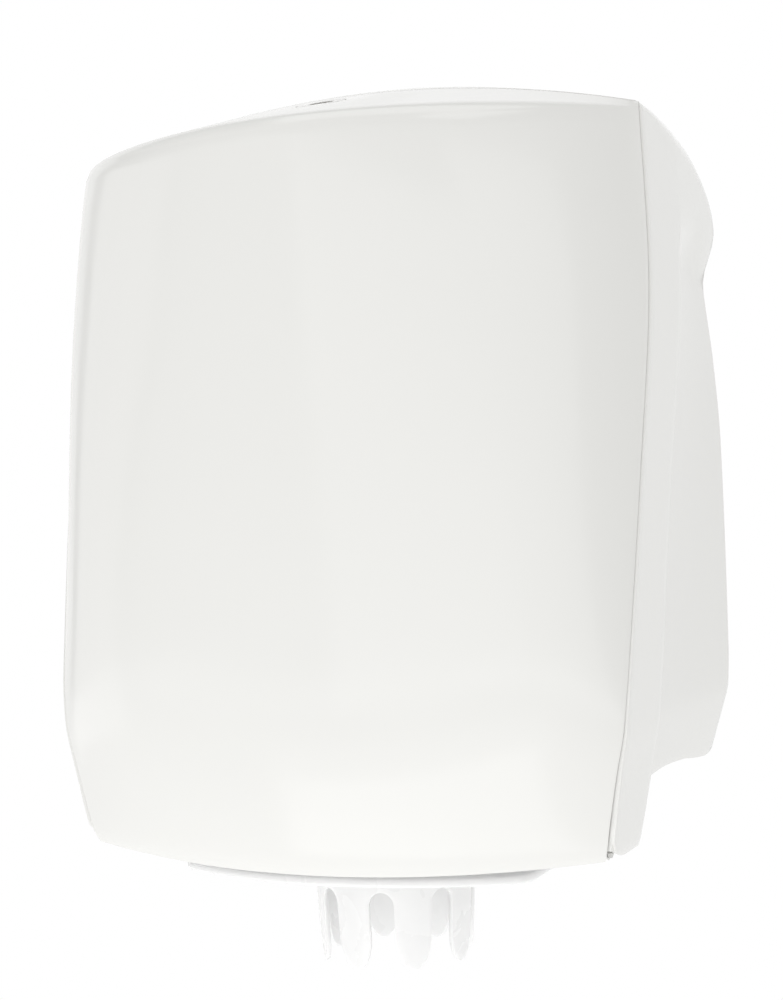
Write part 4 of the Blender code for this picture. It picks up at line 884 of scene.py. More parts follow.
def housing_fittings(form):
    """Lugs, bosses and ribs that grow out of the housing's walls."""
    shape = bmesh.new()
    wall, outer = form.sizes.wall, ear_lug_outer(form)
    y, z = HINGE.y, HINGE.z
    lug = hinge_eye(*HOUSING_EYE)
    lug += [(y + BRIDGE_FRONT, z + BRIDGE_LOW), (y + BRIDGE_REAR, z + BRIDGE_LOW)]
    lug += [(y + BRIDGE_REAR, z + BRIDGE_HIGH), (y + BRIDGE_FRONT, z + BRIDGE_HIGH)]
    for low, high in both_sides(outer - EAR_LUG_THICK, outer):
        prism_shape(shape, lug, low, high, ACROSS)
    fittings = piece("lugs", shape)
    shape = bmesh.new()
    for low, high in both_sides(outer - EAR_LUG_THICK / 2, form.band_half_width(z + BRIDGE_LOW) - wall / 4):
        near, far = (low, y + BRIDGE_FRONT, z + BRIDGE_LOW), (high, y + BRIDGE_REAR, z + BRIDGE_HIGH)
        box_shape(shape, near, far)
    boolean(fittings, piece("bridges", shape), "UNION")
    boolean(fittings, ear_flanges(form), "UNION")
    shape = bmesh.new()
    for spot in screw_spots("tray", CORNER_SCREWS):
        rod_shape(shape, BOSS_RADIUS, wall / 2, wall + BOSS_HEIGHT, pointing((0, -1, 0), (spot.x, 0, spot.z)))
    for side in (-1, 1):
        middle = side * RIB_HALF_SPAN
        low = (middle - RIB_THICK / 2, -wall - RIB_HEIGHT, -RIB_REACH)
        box_shape(shape, low, (middle + RIB_THICK / 2, -wall / 2, RIB_REACH))
        place = lock_place() @ Matrix.Translation((side * CATCH_SCREW_SPREAD, CATCH_SCREW_REACH, 0))
        rod_shape(shape, CATCH_BOSS_RADIUS, CLEARANCE - CATCH_DROP, -1.0 * MM, place)
    boolean(fittings, piece("bosses", shape), "UNION")
    return fittings


def housing_holes(form):
    """Keyholes, pin holes and screw holes."""
    shape = bmesh.new()
    wall, outer = form.sizes.wall, ear_lug_outer(form)
    along_y = Matrix.Rotation(RIGHT_ANGLE, 4, "X")
    for x in (-KEYHOLE_HALF_SPAN, KEYHOLE_HALF_SPAN):
        for z in KEYHOLE_LEVELS:
            prism_shape(shape, keyhole_outline(x, z), -MM, wall + MM, along_y)
    pin_line = Matrix.Translation((0, HINGE.y, HINGE.z)) @ ACROSS
    for low, high in both_sides(outer - EAR_LUG_THICK - MM, outer + MM):
        rod_shape(shape, PIN_HOLE, low, high, pin_line, PIN_HOLE_STEPS)
    for spot in screw_spots("tray", CORNER_SCREWS):
        place = pointing((0, -1, 0), (spot.x, -wall - BOSS_HEIGHT, spot.z))
        rod_shape(shape, SCREW_HOLE, -BOSS_HEIGHT, MM, place, SCREW_HOLE_STEPS)
    return piece("holes", shape)


class DISPENSER_OT_housing(Operator):
    """Back housing: lofted shell with scooped sides, hinge lugs, bosses, ribs and keyholes"""

    bl_idname = "dispenser.housing"
    bl_label = "Back housing"

    def execute(self, context):
        sizes = context.scene.dispenser_body
        form = BodyForm(sizes)
        housing = round_rims(thicken(housing_skin(form), sizes.wall), sizes.rim_round)
        settle(housing)
        boolean(housing, housing_fittings(form), "UNION")
        boolean(housing, housing_holes(form), "DIFFERENCE")
        shade(housing)
        dress(housing, shell_white(), "housing", "shell", "back_housing")
        return {"FINISHED"}


def cover_rows(form, ups=64, fillets=12, roofs=14):
    """Rows of the cover from the lip up the front and back over the roof.
    Each gives the side end's height and depth and the middle's depth and height."""
    reach, fillet = form.sizes.reach, form.TOP_EDGE_FILLET
    rows = []
    side_low, side_high = form.LIP_RISE - reach, reach - form.TOP_EDGE_RISE
    turn = RIGHT_ANGLE - form.ROOF_SLOPE
    top_front = form.front_depth(reach)
    arc_end = top_front - fillet * (1.0 - math.cos(turn))
    arc_start = form.roof_middle(arc_end) - fillet * math.sin(turn)
    for step in range(ups + 1):
        share = step / ups
        share -= ROW_CROWD_SHARE * math.sin(2 * math.pi * share)
        middle = lerp(side_low - form.LIP_SAG, arc_start, share)
        rows.append((lerp(side_low, side_high, share), form.front_depth(middle), middle))
    for step in range(1, fillets + 1):
        angle = turn * step / fillets
        depth = top_front - fillet * (1.0 - math.cos(angle))
        height = arc_start + fillet * math.sin(angle)
        rows.append((lerp(side_high, reach, step / fillets / 2), depth, height))
    rear = form.top_depth + form.gap(reach)
    for step in range(1, roofs + 1):
        share = step / roofs
        depth = lerp(arc_end, rear, share)
        rows.append((lerp(side_high, reach, (1 + share) / 2), depth, form.roof_middle(depth)))
    return rows


def cover_point(form, row, share):
    side, depth, middle = row
    edge = form.edge_depth(side) + form.gap(side)
    x = (form.edge_half_width(side) - form.COVER_SET_IN) * share
    y = edge + (depth - edge) * form.bow(share, side)
    z = side + (middle - side) * (1.0 - share**2)
    return Vector((x, -y, z))


def cover_skin(form, columns=44):
    """Closed cover shell with rounded rims, its inner edge trimmed on the parting line."""
    wall, bend = form.sizes.wall, form.sizes.rim_round
    rows = cover_rows(form)
    shares = []
    for step in range(-columns, columns + 1):
        u = step / columns
        shares.append(u * (1.0 + COLUMN_CROWD_SHARE - COLUMN_CROWD_SHARE * u * u))
    grid = [[cover_point(form, row, share) for share in shares] for row in rows]
    count_rows, count_columns = len(grid), len(shares)

    def frame_at(r, c):
        """Normal and the two directions in the skin at a point of the grid."""
        along = grid[min(count_rows - 1, r + 1)][c] - grid[max(0, r - 1)][c]
        across = grid[r][min(count_columns - 1, c + 1)] - grid[r][max(0, c - 1)]
        along.normalize()
        across.normalize()
        return across.cross(along).normalized(), along, across

    def lines(count):
        """Grid lines from one rim to the other: line, shift in the skin and sink under it."""
        bends = [(bend * (1.0 - math.sin(a)), bend * (1.0 - math.cos(a))) for a in RIM_ANGLES]
        first = [(0, shift, sink) for shift, sink in reversed(bends)]
        last = [(count - 1, -shift, sink) for shift, sink in bends]
        return first + [(k, 0.0, 0.0) for k in range(1, count - 1)] + last

    shape = bmesh.new()
    outer, inner = [], []
    for r, shift_r, sink_r in lines(count_rows):
        top, bottom = [], []
        for c, shift_c, sink_c in lines(count_columns):
            normal, along, across = frame_at(r, c)
            spot = grid[r][c] + along * shift_r + across * shift_c
            sink = min(wall / 2, math.hypot(sink_r, sink_c))
            thin = form.COVER_SET_IN * smooth((abs(shares[c]) - THIN_START_SHARE) / THIN_RUN_SHARE)
            up, down = spot - normal * sink, spot - normal * (wall - sink - thin)
            for point in (up, down):
                point.y = min(point.y, -form.edge_depth(point.z) - form.gap(point.z))
            top.append(shape.verts.new(up))
            bottom.append(shape.verts.new(down))
        outer.append(top)
        inner.append(bottom)
    for k in range(len(outer) - 1):
        span(shape, outer[k], outer[k + 1], flip=True)
        span(shape, inner[k], inner[k + 1])
    span(shape, outer[0], inner[0])
    span(shape, outer[-1], inner[-1], flip=True)
    span(shape, [row[0] for row in outer], [row[0] for row in inner], flip=True)
    span(shape, [row[-1] for row in outer], [row[-1] for row in inner])
    bmesh.ops.recalc_face_normals(shape, faces=shape.faces)
    return piece("cover_shell", shape)


LOCK_FLANGE_RADIUS = 12 * MM
LOCK_FLANGE_THICK = 1.4 * MM
LOCK_BODY_RADIUS = 9 * MM
LOCK_BODY_LENGTH = 20 * MM

LOCK_SEAT_RADIUS = 16 * MM
LOCK_SEAT_THICK = 5 * MM
LOCK_STEPS = 64


def cover_depth(form, x, z):
    """Depth of the cover's outer face, below its rounded top edge."""
    edge = form.edge_depth(z) + form.gap(z)
    return edge + (form.front_depth(z) - edge) * form.bow(x / form.edge_half_width(z), z)


def cover_fittings(form):
    """Hinge lugs and the lock's seat, inside the cover."""
    shape = bmesh.new()
    wall = form.sizes.wall
    outer = ear_lug_outer(form) - EAR_LUG_THICK - CLEARANCE
    low, high = HINGE.z - COVER_LUG_LOW, HINGE.z + COVER_LUG_HIGH
    web = [(wall / 2 - cover_depth(form, outer, z), z) for z in (high, low)]
    web += hinge_eye(*COVER_EYE)
    web.append((HINGE.y - LUG_RADIUS, high))
    for near, far in both_sides(outer - COVER_LUG_THICK, outer):
        prism_shape(shape, web, near, far, ACROSS)
    pocket = -LOCK_FLANGE_THICK - CLEARANCE
    low, high = pocket - LOCK_SEAT_THICK, pocket + CLEARANCE
    rod_shape(shape, LOCK_SEAT_RADIUS, low, high, lock_place(), LOCK_STEPS)
    return piece("cover_fittings", shape)


def cover_holes(form):
    """Pin holes and the stepped bore for the lock."""
    shape = bmesh.new()
    outer = ear_lug_outer(form) - EAR_LUG_THICK
    pin_line = Matrix.Translation((0, HINGE.y, HINGE.z)) @ ACROSS
    for low, high in both_sides(outer - COVER_LUG_THICK - MM, outer + MM):
        rod_shape(shape, PIN_HOLE, low, high, pin_line, PIN_HOLE_STEPS)
    rod_shape(shape, LOCK_BODY_RADIUS + CLEARANCE, -LOCK_BODY_LENGTH, -MM, lock_place(), LOCK_STEPS)
    holes = piece("cover_holes", shape)
    shape = bmesh.new()
    pocket = -LOCK_FLANGE_THICK - CLEARANCE
    rod_shape(shape, LOCK_FLANGE_RADIUS + CLEARANCE, pocket, LOCK_SEAT_THICK, lock_place(), LOCK_STEPS)
    return boolean(holes, piece("lock_pocket", shape), "UNION")


class DISPENSER_OT_cover(Operator):
    """Front cover: bowed shell with rounded rims, hinge lugs and the lock's seat"""

    bl_idname = "dispenser.cover"
    bl_label = "Front cover"

    def execute(self, context):
        form = BodyForm(context.scene.dispenser_body)
        cover = cover_skin(form)
        boolean(cover, cover_fittings(form), "UNION")
        boolean(cover, cover_holes(form), "DIFFERENCE")
        shade(cover)
        dress(cover, shell_white(), "cover", "shell", "front_cover")
        return {"FINISHED"}


# Rounded outlines of the tray, its well and the bottom plate
def corner_points(start, corner, end, count):
    """Points of a bend from its start towards its end, which it leaves out."""
    points = []
    for step in range(count):
        s = step / count
        weights = ((1 - s) ** 2, 2 * s * (1 - s), s**2)
        points.append(tuple(sum(w * p[k] for w, p in zip(weights, (start, corner, end))) for k in range(2)))
    return points


def straight(start, end, count):
    """Points of a straight from its start towards its end, which it leaves out."""
    return [tuple(lerp(start[k], end[k], step / count) for k in range(2)) for step in range(count)]


def bowed_outline(half_width, front, rear, swell, round_off, inset=0.0):
    """Anticlockwise outline from the front middle, with a bowed front and rounded corners."""
    wide = half_width - inset
    bend = round_off - inset / 2

    def front_line(x):
        return -(front - inset) + swell * (x / half_width) ** 2

    back = -(rear + inset)
    xs = [lerp(0.0, wide - bend, step / FRONT_STEPS) for step in range(FRONT_STEPS)]
    right = [(x, front_line(x)) for x in xs]
    front_end, side_front = (wide - bend, front_line(wide - bend)), (wide, front_line(wide) + bend)
    side_back, back_end = (wide, back - bend), (wide - bend, back)
    right += corner_points(front_end, (wide, front_line(wide)), side_front, CORNER_STEPS)
    right += straight(side_front, side_back, CORNER_STEPS)
    right += corner_points(side_back, (wide, back), back_end, CORNER_STEPS)
    right += straight(back_end, (0.0, back), CORNER_STEPS)
    left = [(-x, y) for x, y in reversed(right[1:])]
    return right + [(0.0, back)] + left


def circle_towards(outline, centre, radius):
    """Point of a circle towards each point of an outline."""
    points = []
    for x, y in outline:
        length = math.hypot(x, y - centre)
        points.append((radius * x / length, centre + radius * (y - centre) / length))
    return points


def loft(name, loops, closed):
    """Skin through loops of equal length; closed joins the last loop to the first."""
    shape = bmesh.new()
    rings = [[shape.verts.new(point) for point in loop] for loop in loops]
    pairs = list(zip(rings, rings[1:]))
    if closed:
        pairs.append((rings[-1], rings[0]))
    for upper, lower in pairs:
        span(shape, upper, lower, closed=True)
    return piece(name, shape)


def at_height(outline, z):
    return [(x, y, z) for x, y in outline]


FRONT_STEPS = 24
CORNER_STEPS = 12
TRAY_THICK = 2.5 * MM
TRAY_DROP = 135 * MM
TRAY_RIM = 9 * MM
TRAY_BEND = 3 * MM
TRAY_SWELL = 24 * MM
TRAY_CORNER = 24 * MM
WELL_CORNER = 9 * MM
MOUTH_BEND = 1.8 * MM
TRAY_RIM_ROUND = 0.5 * MM
EDGE_ROUND = 1.6 * MM
WELL_DRAFT = 1.5 * MM
FLOOR_HOLE_GAP = 2.5 * MM
PLATE_EDGE = 0.4 * MM
SKIRT_GAP = 0.4 * MM
SKIRT_WIDTH = 1.6 * MM
SKIRT_RISE = 4.5 * MM
FLANGE_THICK = 2 * MM
FLANGE_LIP = 5 * MM
FLANGE_ROUND = 0.4 * MM
NOZZLE_SLACK = 0.6 * MM
RING_LAP = 2.0 * MM
RING_WIDTH = 9.5 * MM
RING_THICK = 2 * MM
RING_ROUND = 0.6 * MM
UPSTAND_MARGIN = 8 * MM
UPSTAND_HEIGHT = 46 * MM
UPSTAND_ROUND = 6 * MM
UPSTAND_STEPS = 6

PLATE_LOW, PLATE_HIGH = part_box("bottom_plate")
TRAY_LOW, TRAY_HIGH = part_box("roll_tray")
WELL_FLOOR = PLATE_HIGH.z + CLEARANCE


def tray_outline(inset=0.0):
    return bowed_outline(TRAY_HIGH.x, -TRAY_LOW.y, -TRAY_HIGH.y, TRAY_SWELL, TRAY_CORNER, inset)


def well_outline(inset=0.0):
    return bowed_outline(PLATE_HIGH.x, -PLATE_LOW.y, -PLATE_HIGH.y, TRAY_SWELL, WELL_CORNER, inset)


def quarter_round(radius, steps=5):
    """Shifts in and down round a quarter circle."""
    for k in range(steps + 1):
        angle = RIGHT_ANGLE * k / steps
        yield radius * (1.0 - math.cos(angle)), radius * (1.0 - math.sin(angle))

def tray_loops():
    """Loops of the tray from its rim over the shelf and down the well to the floor's hole."""
    shelf = -TRAY_DROP
    loops = [at_height(tray_outline(), shelf + TRAY_RIM)]
    for inset, rise in quarter_round(TRAY_BEND):
        loops.append(at_height(tray_outline(inset), shelf + rise))
    for out, drop in reversed(list(quarter_round(MOUTH_BEND, steps=4))):
        loops.append(at_height(well_outline(-drop), shelf - out))
    for inset, rise in quarter_round(EDGE_ROUND):
        loops.append(at_height(well_outline(WELL_DRAFT + inset), WELL_FLOOR + rise))
    floor = well_outline(WELL_DRAFT + EDGE_ROUND)
    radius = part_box("nozzle_ring")[1].x + FLOOR_HOLE_GAP
    loops.append(at_height(circle_towards(floor, NOZZLE.y, radius), WELL_FLOOR))
    return loops


class DISPENSER_OT_tray(Operator):
    """Roll tray: shelf with an upturned rim, sunken well and two upstands"""

    bl_idname = "dispenser.tray"
    bl_label = "Roll tray"

    def execute(self, context):
        tray = thicken(loft("tray_shell", tray_loops(), closed=False), TRAY_THICK)
        settle(round_rims(tray, TRAY_RIM_ROUND, segments=2))
        back = TRAY_HIGH.y
        screws = screw_spots("tray", CORNER_SCREWS)
        spreads = sorted(abs(spot.x) for spot in screws)
        shape = bmesh.new()
        foot = EDGE_ROUND - TRAY_DROP
        for low, high in both_sides(spreads[0] - UPSTAND_MARGIN, spreads[-1] + UPSTAND_MARGIN):
            box_shape(shape, (low, back - TRAY_THICK, foot), (high, back, UPSTAND_HEIGHT - TRAY_DROP))
        corners = []
        for edge in shape.edges:
            one, other = (vert.co for vert in edge.verts)
            if abs(one.y - other.y) > MM and one.z > foot + MM:
                corners.append(edge)
        bmesh.ops.bevel(
            shape, geom=corners, offset=UPSTAND_ROUND, segments=UPSTAND_STEPS, profile=0.5, affect="EDGES"
        )
        boolean(tray, piece("upstands", shape), "UNION")
        shape = bmesh.new()
        places = [pointing((0, -1, 0), (spot.x, back, spot.z)) for spot in screws]
        for spot in screw_spots("plate", CORNER_SCREWS):
            places.append(Matrix.Translation((spot.x, spot.y, WELL_FLOOR)))
        for place in places:
            rod_shape(shape, SCREW_HOLE, -MM, TRAY_THICK + MM, place, SCREW_HOLE_STEPS)
        boolean(tray, piece("tray_holes", shape), "DIFFERENCE")
        shade(tray)
        dress(tray, tray_grey(), "housing", "tray", "roll_tray")
        return {"FINISHED"}


class DISPENSER_OT_plate(Operator):
    """Bottom plate and the clamp ring that holds the nozzle's flange"""

    bl_idname = "dispenser.plate"
    bl_label = "Bottom plate"

    def execute(self, context):
        collar = context.scene.dispenser_nozzle.collar_radius
        bottom, top = PLATE_LOW.z, PLATE_HIGH.z
        bore = circle_towards(well_outline(), NOZZLE.y, collar + NOZZLE_SLACK)
        edge = circle_towards(well_outline(), NOZZLE.y, collar + NOZZLE_SLACK + PLATE_EDGE)
        brim = top + SKIRT_RISE
        loops = [at_height(bore, top), at_height(well_outline(-SKIRT_GAP), top)]
        loops.append(at_height(well_outline(-SKIRT_GAP), brim))
        loops.append(at_height(well_outline(-SKIRT_WIDTH), brim))
        for inset, rise in quarter_round(EDGE_ROUND, steps=6):
            loops.append(at_height(well_outline(inset - SKIRT_WIDTH), bottom + rise))
        loops += [at_height(edge, bottom), at_height(bore, bottom + PLATE_EDGE)]
        plate = loft("bottom_cover_plate", loops, closed=True)
        shade(plate)
        dress(plate, nozzle_white(), "housing", "shell", "bottom_plate")
        low = WELL_FLOOR
        under = low + FLANGE_THICK + CLEARANCE
        top = under + RING_THICK
        inner = collar + RING_LAP
        outer = inner + RING_WIDTH
        step = collar + FLANGE_LIP + NOZZLE_SLACK
        corners = [(outer, top, True), (outer, low, False), (step, low, False), (step, under, False)]
        corners += [(inner, under, False), (inner, top, True)]
        place = Matrix.Translation((NOZZLE.x, NOZZLE.y, 0))
        ring = turned("clamp_ring", rounded(corners, RING_ROUND), place, RING_STEPS)
        dress(ring, tray_grey(), "housing", "tray", "nozzle_ring")
        return {"FINISHED"}


NOZZLE_TURN = math.radians(-54.9)
SLOT_ARCH = 7 * MM
TIP_ROUND = 16 * MM
TIP_BLUNT = 0.012
FINGER_HALF_WIDTH = 9.2 * MM
TIP_HALF_WIDTH = 8.8 * MM
TAPER_POWER = 1.5
FINGER_RIM_ROUND = 0.55 * MM
FINGER_RIM_ANGLE = math.radians(50)
COLLAR_ROWS = 5
SLOT_STEPS = 10
FINGER_STEPS = 7
RING_STEPS = 96


def finger_half(sizes, share):
    """Half width of a finger along its length: an arch at the slot, a taper and a round tip."""
    length = sizes.finger_tip - sizes.finger_root
    down = share * length
    half_pitch = math.pi * sizes.collar_radius / sizes.fingers
    half = lerp(FINGER_HALF_WIDTH, TIP_HALF_WIDTH, share)
    if down < SLOT_ARCH:
        half = half_pitch - (half_pitch - half) * math.sqrt(1.0 - (1.0 - down / SLOT_ARCH) ** 2)
    left = length - down
    if left < TIP_ROUND:
        half *= math.sqrt(max(TIP_BLUNT, 1.0 - (1.0 - left / TIP_ROUND) ** 2))
    return half


def finger_shares(sizes):
    """Steps down a finger, closer together in the slot's arch and in the tip."""
    length = sizes.finger_tip - sizes.finger_root
    turns = [RIGHT_ANGLE * k / SLOT_STEPS for k in range(SLOT_STEPS + 1)]
    arch = [SLOT_ARCH * (1.0 - math.cos(turn)) / length for turn in turns]
    tip = [1.0 - TIP_ROUND * (1.0 - math.sin(turn)) / length for turn in turns]
    between = [lerp(arch[-1], tip[0], k / FINGER_STEPS) for k in range(1, FINGER_STEPS)]
    return arch + between + tip


def nozzle_skin(sizes, columns=12):
    """Collar and fingers as one skin, round the turning axis."""
    shape = bmesh.new()
    pitch = 2 * math.pi / sizes.fingers
    around = sizes.fingers * columns

    def row_at(radius, z, angles):
        return [shape.verts.new((radius * math.sin(angle), -radius * math.cos(angle), z)) for angle in angles]

    angles = [NOZZLE_TURN + pitch * (k / columns - 0.5) for k in range(around)]
    heights = [
        lerp(WELL_FLOOR + FLANGE_THICK, -sizes.finger_root, k / COLLAR_ROWS) for k in range(COLLAR_ROWS + 1)
    ]
    rings = [row_at(sizes.collar_radius, z, angles) for z in heights]
    for upper, lower in zip(rings, rings[1:]):
        span(shape, upper, lower, closed=True)
    for finger in range(sizes.fingers):
        middle = NOZZLE_TURN + pitch * finger
        above = [rings[-1][(finger * columns + k) % around] for k in range(columns + 1)]
        for share in finger_shares(sizes)[1:]:
            radius = lerp(sizes.collar_radius, sizes.tip_radius, share**TAPER_POWER)
            half = finger_half(sizes, share)
            turns = [middle + (2 * k / columns - 1) * half / radius for k in range(columns + 1)]
            row = row_at(radius, lerp(-sizes.finger_root, -sizes.finger_tip, share), turns)
            span(shape, above, row)
            above = row
    bmesh.ops.translate(shape, verts=shape.verts, vec=(NOZZLE.x, NOZZLE.y, 0))
    return piece("finger_nozzle", shape)


class DISPENSER_OT_nozzle(Operator):
    """Finger nozzle: collar, flange and a ring of sprung fingers"""

    bl_idname = "dispenser.nozzle"
    bl_label = "Finger nozzle"

    def execute(self, context):
        sizes = context.scene.dispenser_nozzle
        rims = round_rims(thicken(nozzle_skin(sizes), sizes.wall), FINGER_RIM_ROUND, FINGER_RIM_ANGLE)
        nozzle = settle(rims)
        low, high = WELL_FLOOR, WELL_FLOOR + FLANGE_THICK
        inner = sizes.collar_radius - sizes.wall / 2
        rim = sizes.collar_radius + FLANGE_LIP
        corners = [(rim, high, True), (rim, low, True), (inner, low, False), (inner, high, False)]
        place = Matrix.Translation((NOZZLE.x, NOZZLE.y, 0))
        flange = turned("nozzle_flange", rounded(corners, FLANGE_ROUND), place, RING_STEPS)
        boolean(nozzle, flange, "UNION")
        shade(nozzle)
        dress(nozzle, nozzle_white(), "nozzle", "nozzle", "nozzle")
        return {"FINISHED"}


SCREW_HEAD = 1.8 * MM
SCREW_HEAD_RADIUS = 2.8 * MM
SCREW_HEAD_ROUND = 0.5 * MM
SCREW_CROWN_SHARE = 0.72
SCREW_RIM_SHARE = 0.45
SCREW_SHANK = 1.5 * MM
SCREW_STEPS = 32
RECESS_HALF_LENGTH = 1.5 * MM
RECESS_HALF_WIDTH = 0.3 * MM
RECESS_DEPTH = 1.1 * MM
TRAY_SCREW_LENGTH = 9 * MM
PLATE_SCREW_LENGTH = 5.5 * MM
RING_SCREW_LENGTH = 7 * MM


def pan_screw(kind, number, length, axis):
    """Pan head screw with a cross recess, standing where the frame's screw stands."""
    name, node = f"{kind}_fixing_{number}", f"{kind}_screw_{number}"
    axis = Vector(axis)
    under = middle_of(node) + axis * ((length - SCREW_HEAD) / 2)
    corners = [(0, SCREW_HEAD, False), (SCREW_HEAD_RADIUS * SCREW_CROWN_SHARE, SCREW_HEAD, True)]
    corners += [(SCREW_HEAD_RADIUS, SCREW_HEAD * SCREW_RIM_SHARE, True), (SCREW_HEAD_RADIUS, 0, False)]
    corners += [(SCREW_SHANK, 0, False), (SCREW_SHANK, SCREW_SHANK - length, False), (0, -length, False)]
    screw = turned(name, rounded(corners, SCREW_HEAD_ROUND), Matrix.Identity(4), SCREW_STEPS)
    shape = bmesh.new()
    wide, narrow = RECESS_HALF_LENGTH, RECESS_HALF_WIDTH
    cross = []
    for x, y in ((1, 0), (0, 1), (-1, 0), (0, -1)):
        cross.append((x * wide + y * narrow, y * wide - x * narrow))
        cross.append((x * wide - y * narrow, y * wide + x * narrow))
        cross.append(((x - y) * narrow, (x + y) * narrow))
    prism_shape(shape, cross, SCREW_HEAD - RECESS_DEPTH, SCREW_HEAD + MM, Matrix.Identity(4))
    boolean(screw, piece("recess", shape), "DIFFERENCE")
    screw.data.transform(pointing(axis, under))
    shade(screw, TURNED_ANGLE)
    return dress(screw, screw_steel(), "housing", "steel", node)


class DISPENSER_OT_screws(Operator):
    """Screws of the tray, the plate and the clamp ring"""

    bl_idname = "dispenser.screws"
    bl_label = "Screws"

    def execute(self, context):
        for number in range(1, CORNER_SCREWS + 1):
            pan_screw("tray", number, TRAY_SCREW_LENGTH, (0, -1, 0))
            pan_screw("plate", number, PLATE_SCREW_LENGTH, (0, 0, 1))
        for number in range(1, RING_SCREWS + 1):
            pan_screw("ring", number, RING_SCREW_LENGTH, (0, 0, 1))
        return {"FINISHED"}


FITTING_ROUND = 0.18 * MM
FITTING_ANGLE = math.radians(38)
FITTING_MERGE = 0.002 * MM


class DISPENSER_OT_fittings(Operator):
    """Steel, nickel and grey finish for the pins, washers, catch, cam, lock and nut"""

    bl_idname = "dispenser.fittings"
    bl_label = "Pins, catch and lock"

    def execute(self, context):
        finishes = {"lock_body": lock_nickel, "lock_plug": lock_nickel, "lock_nut": tray_grey}
        for name, thing in frame["nodes"].items():
            if thing.hide_render:
                continue
            thing.data.materials.clear()
            thing.data.materials.append(finishes.get(name, screw_steel)())
            weld = thing.modifiers.new("joined faces", "WELD")
            weld.merge_threshold = FITTING_MERGE
            round_rims(thing, FITTING_ROUND, FITTING_ANGLE, 2)
        return {"FINISHED"}


def glow(name, strength):
    material, w = new_material(name)
    light = w.put("ShaderNodeEmission", {"Color": WHITE, "Strength": strength})
    w.add("ShaderNodeOutputMaterial", {"Surface": light})
    return material


def area_lamp(name, place, aim, size, power):
    data = bpy.data.lights.new(name, "AREA")
    data.shape = "RECTANGLE"
    data.size, data.size_y = size
    data.energy = power
    lamp = link(name, data)
    lamp.location = place
    lamp.rotation_euler = (Vector(aim) - Vector(place)).to_track_quat("-Z", "Y").to_euler()
    lamp.visible_camera = False


# Name, place, aim, width and height, and power of each lamp
LAMPS = (
    ("front_lamp", (0.1, -2.2, 0.1), (0.0, -0.1, 0.0), (1.6, 1.2), 4.2),
    ("left_front_lamp", (-1.1, -1.6, 0.25), (0.0, -0.1, 0.0), (1.4, 1.4), 1.7),
    ("right_front_lamp", (1.3, -1.4, 0.2), (0.0, -0.1, 0.0), (1.4, 1.4), 3.8),
    ("left_lamp", (-1.7, -0.4, 0.1), (0.0, -0.1, 0.0), (1.2, 1.6), 3.4),
    ("top_lamp", (0.0, -0.5, 1.6), (0.0, -0.1, 0.0), (1.4, 1.2), 7.4),
    ("floor_bounce", (0.0, -0.9, -0.75), (0.0, -0.1, -0.1), (1.2, 0.8), 0.9),
    ("low_bounce", (0.0, -0.6, -0.5), (0.0, -0.15, -0.15), (0.6, 0.3), 0.55),
)
FLOOR_HALF_WIDTH = 4.0
FLOOR_FRONT = 4.0
FLOOR_BEND = 0.9
BACKDROP_HEIGHT = 3.0
SWEEP_STEPS = 24
SENSOR_WIDTH = 36.0


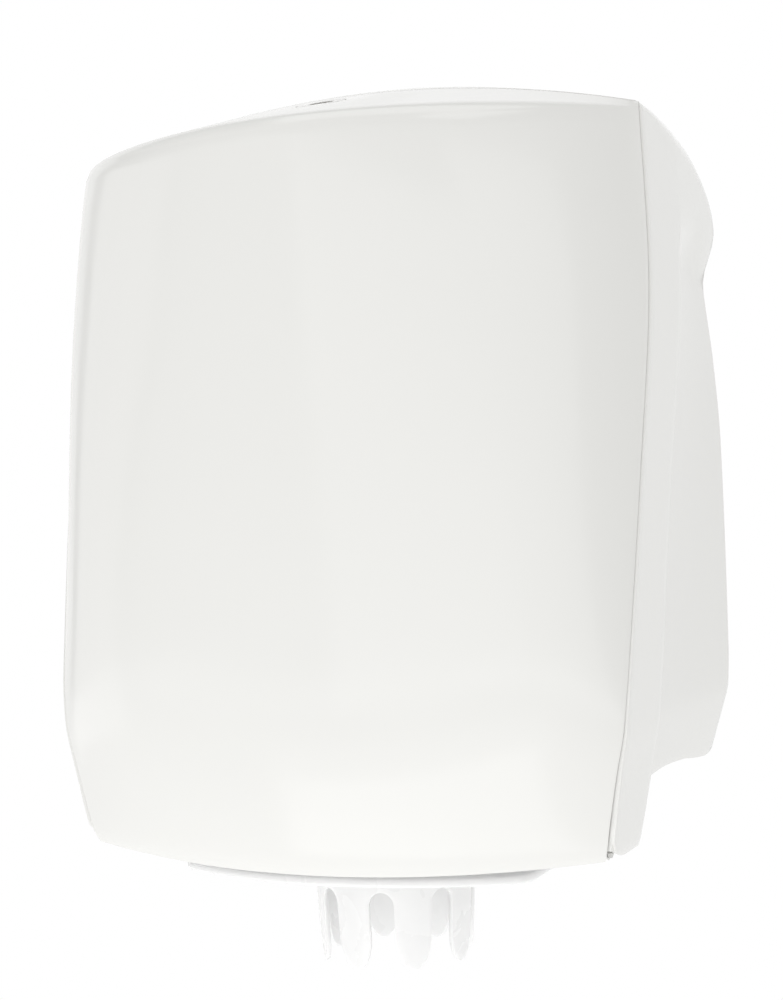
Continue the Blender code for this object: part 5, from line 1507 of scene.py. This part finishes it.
class DISPENSER_OT_stage(Operator):
    """Pale floor with a swept backdrop, soft lamps and the camera"""

    bl_idname = "dispenser.stage"
    bl_label = "Stage"

    def execute(self, context):
        stage = context.scene.dispenser_stage
        shape = bmesh.new()
        foot, floor_level = stage.floor_depth - FLOOR_BEND, -stage.floor_drop
        path = [(-FLOOR_FRONT, floor_level), (foot, floor_level)]
        for step in range(1, SWEEP_STEPS + 1):
            angle = RIGHT_ANGLE * step / SWEEP_STEPS
            y = foot + FLOOR_BEND * math.sin(angle)
            path.append((y, floor_level + FLOOR_BEND * (1.0 - math.cos(angle))))
        path.append((stage.floor_depth, BACKDROP_HEIGHT))
        sides = []
        for x in (-FLOOR_HALF_WIDTH, FLOOR_HALF_WIDTH):
            sides.append([shape.verts.new((x, y, z)) for y, z in path])
        span(shape, *sides)
        floor = piece("pale_floor", shape)
        floor.data.shade_smooth()
        floor.data.materials.append(glow("floor white", stage.backdrop_glow))

        world = bpy.data.worlds.new("studio")
        world.use_nodes = True
        w = Wiring(world.node_tree)
        back = w.put("ShaderNodeBackground", {"Color": WHITE, "Strength": stage.room_glow})
        w.add("ShaderNodeOutputWorld", {"Surface": back})
        context.scene.world = world
        for lamp in LAMPS:
            area_lamp(*lamp)

        camera_data = bpy.data.cameras.new("camera")
        camera_data.sensor_fit = "AUTO"
        camera_data.sensor_width = SENSOR_WIDTH
        camera_data.lens = stage.lens
        camera = link("camera", camera_data)
        ahead = Vector((-math.sin(stage.turn), math.cos(stage.turn), 0))
        look = ahead.to_track_quat("-Z", "Y").to_matrix().to_4x4()
        roll = Matrix.Rotation(-stage.roll, 4, "Z")
        camera.matrix_world = Matrix.Translation(stage.camera) @ look @ roll
        context.scene.camera = camera
        context.scene.view_settings.view_transform = "Standard"
        return {"FINISHED"}


class DISPENSER_PT_pieces(Panel):
    """Lists the dispenser's pieces and their sizes"""

    bl_idname = "DISPENSER_PT_pieces"
    bl_label = "Centrefeed dispenser"
    bl_space_type = "VIEW_3D"
    bl_region_type = "UI"
    bl_category = "Dispenser"

    def draw(self, context):
        layout = self.layout
        for operator in OPERATORS:
            layout.operator(operator.bl_idname)
        for group in GROUPS:
            sizes = getattr(context.scene, group)
            box = layout.box()
            for key in sizes.bl_rna.properties.keys():
                if key not in ("rna_type", "name"):
                    box.prop(sizes, key)


GROUPS = {
    "dispenser_body": DispenserBody,
    "dispenser_nozzle": DispenserNozzle,
    "dispenser_finish": DispenserFinish,
    "dispenser_stage": DispenserStage,
}
OPERATORS = (
    DISPENSER_OT_housing,
    DISPENSER_OT_cover,
    DISPENSER_OT_tray,
    DISPENSER_OT_plate,
    DISPENSER_OT_nozzle,
    DISPENSER_OT_screws,
    DISPENSER_OT_fittings,
    DISPENSER_OT_stage,
)


def register():
    for made in (*GROUPS.values(), *OPERATORS, DISPENSER_PT_pieces):
        bpy.utils.register_class(made)
    for name, made in GROUPS.items():
        setattr(bpy.types.Scene, name, PointerProperty(type=made))


def unregister():
    for name in GROUPS:
        delattr(bpy.types.Scene, name)
    for made in reversed((*GROUPS.values(), *OPERATORS, DISPENSER_PT_pieces)):
        bpy.utils.unregister_class(made)


def main():
    register()
    bpy.ops.dispenser.housing()
    bpy.ops.dispenser.cover()
    bpy.ops.dispenser.tray()
    bpy.ops.dispenser.plate()
    bpy.ops.dispenser.nozzle()
    bpy.ops.dispenser.screws()
    bpy.ops.dispenser.fittings()
    bpy.ops.dispenser.stage()


if __name__ == "__main__":
    main()
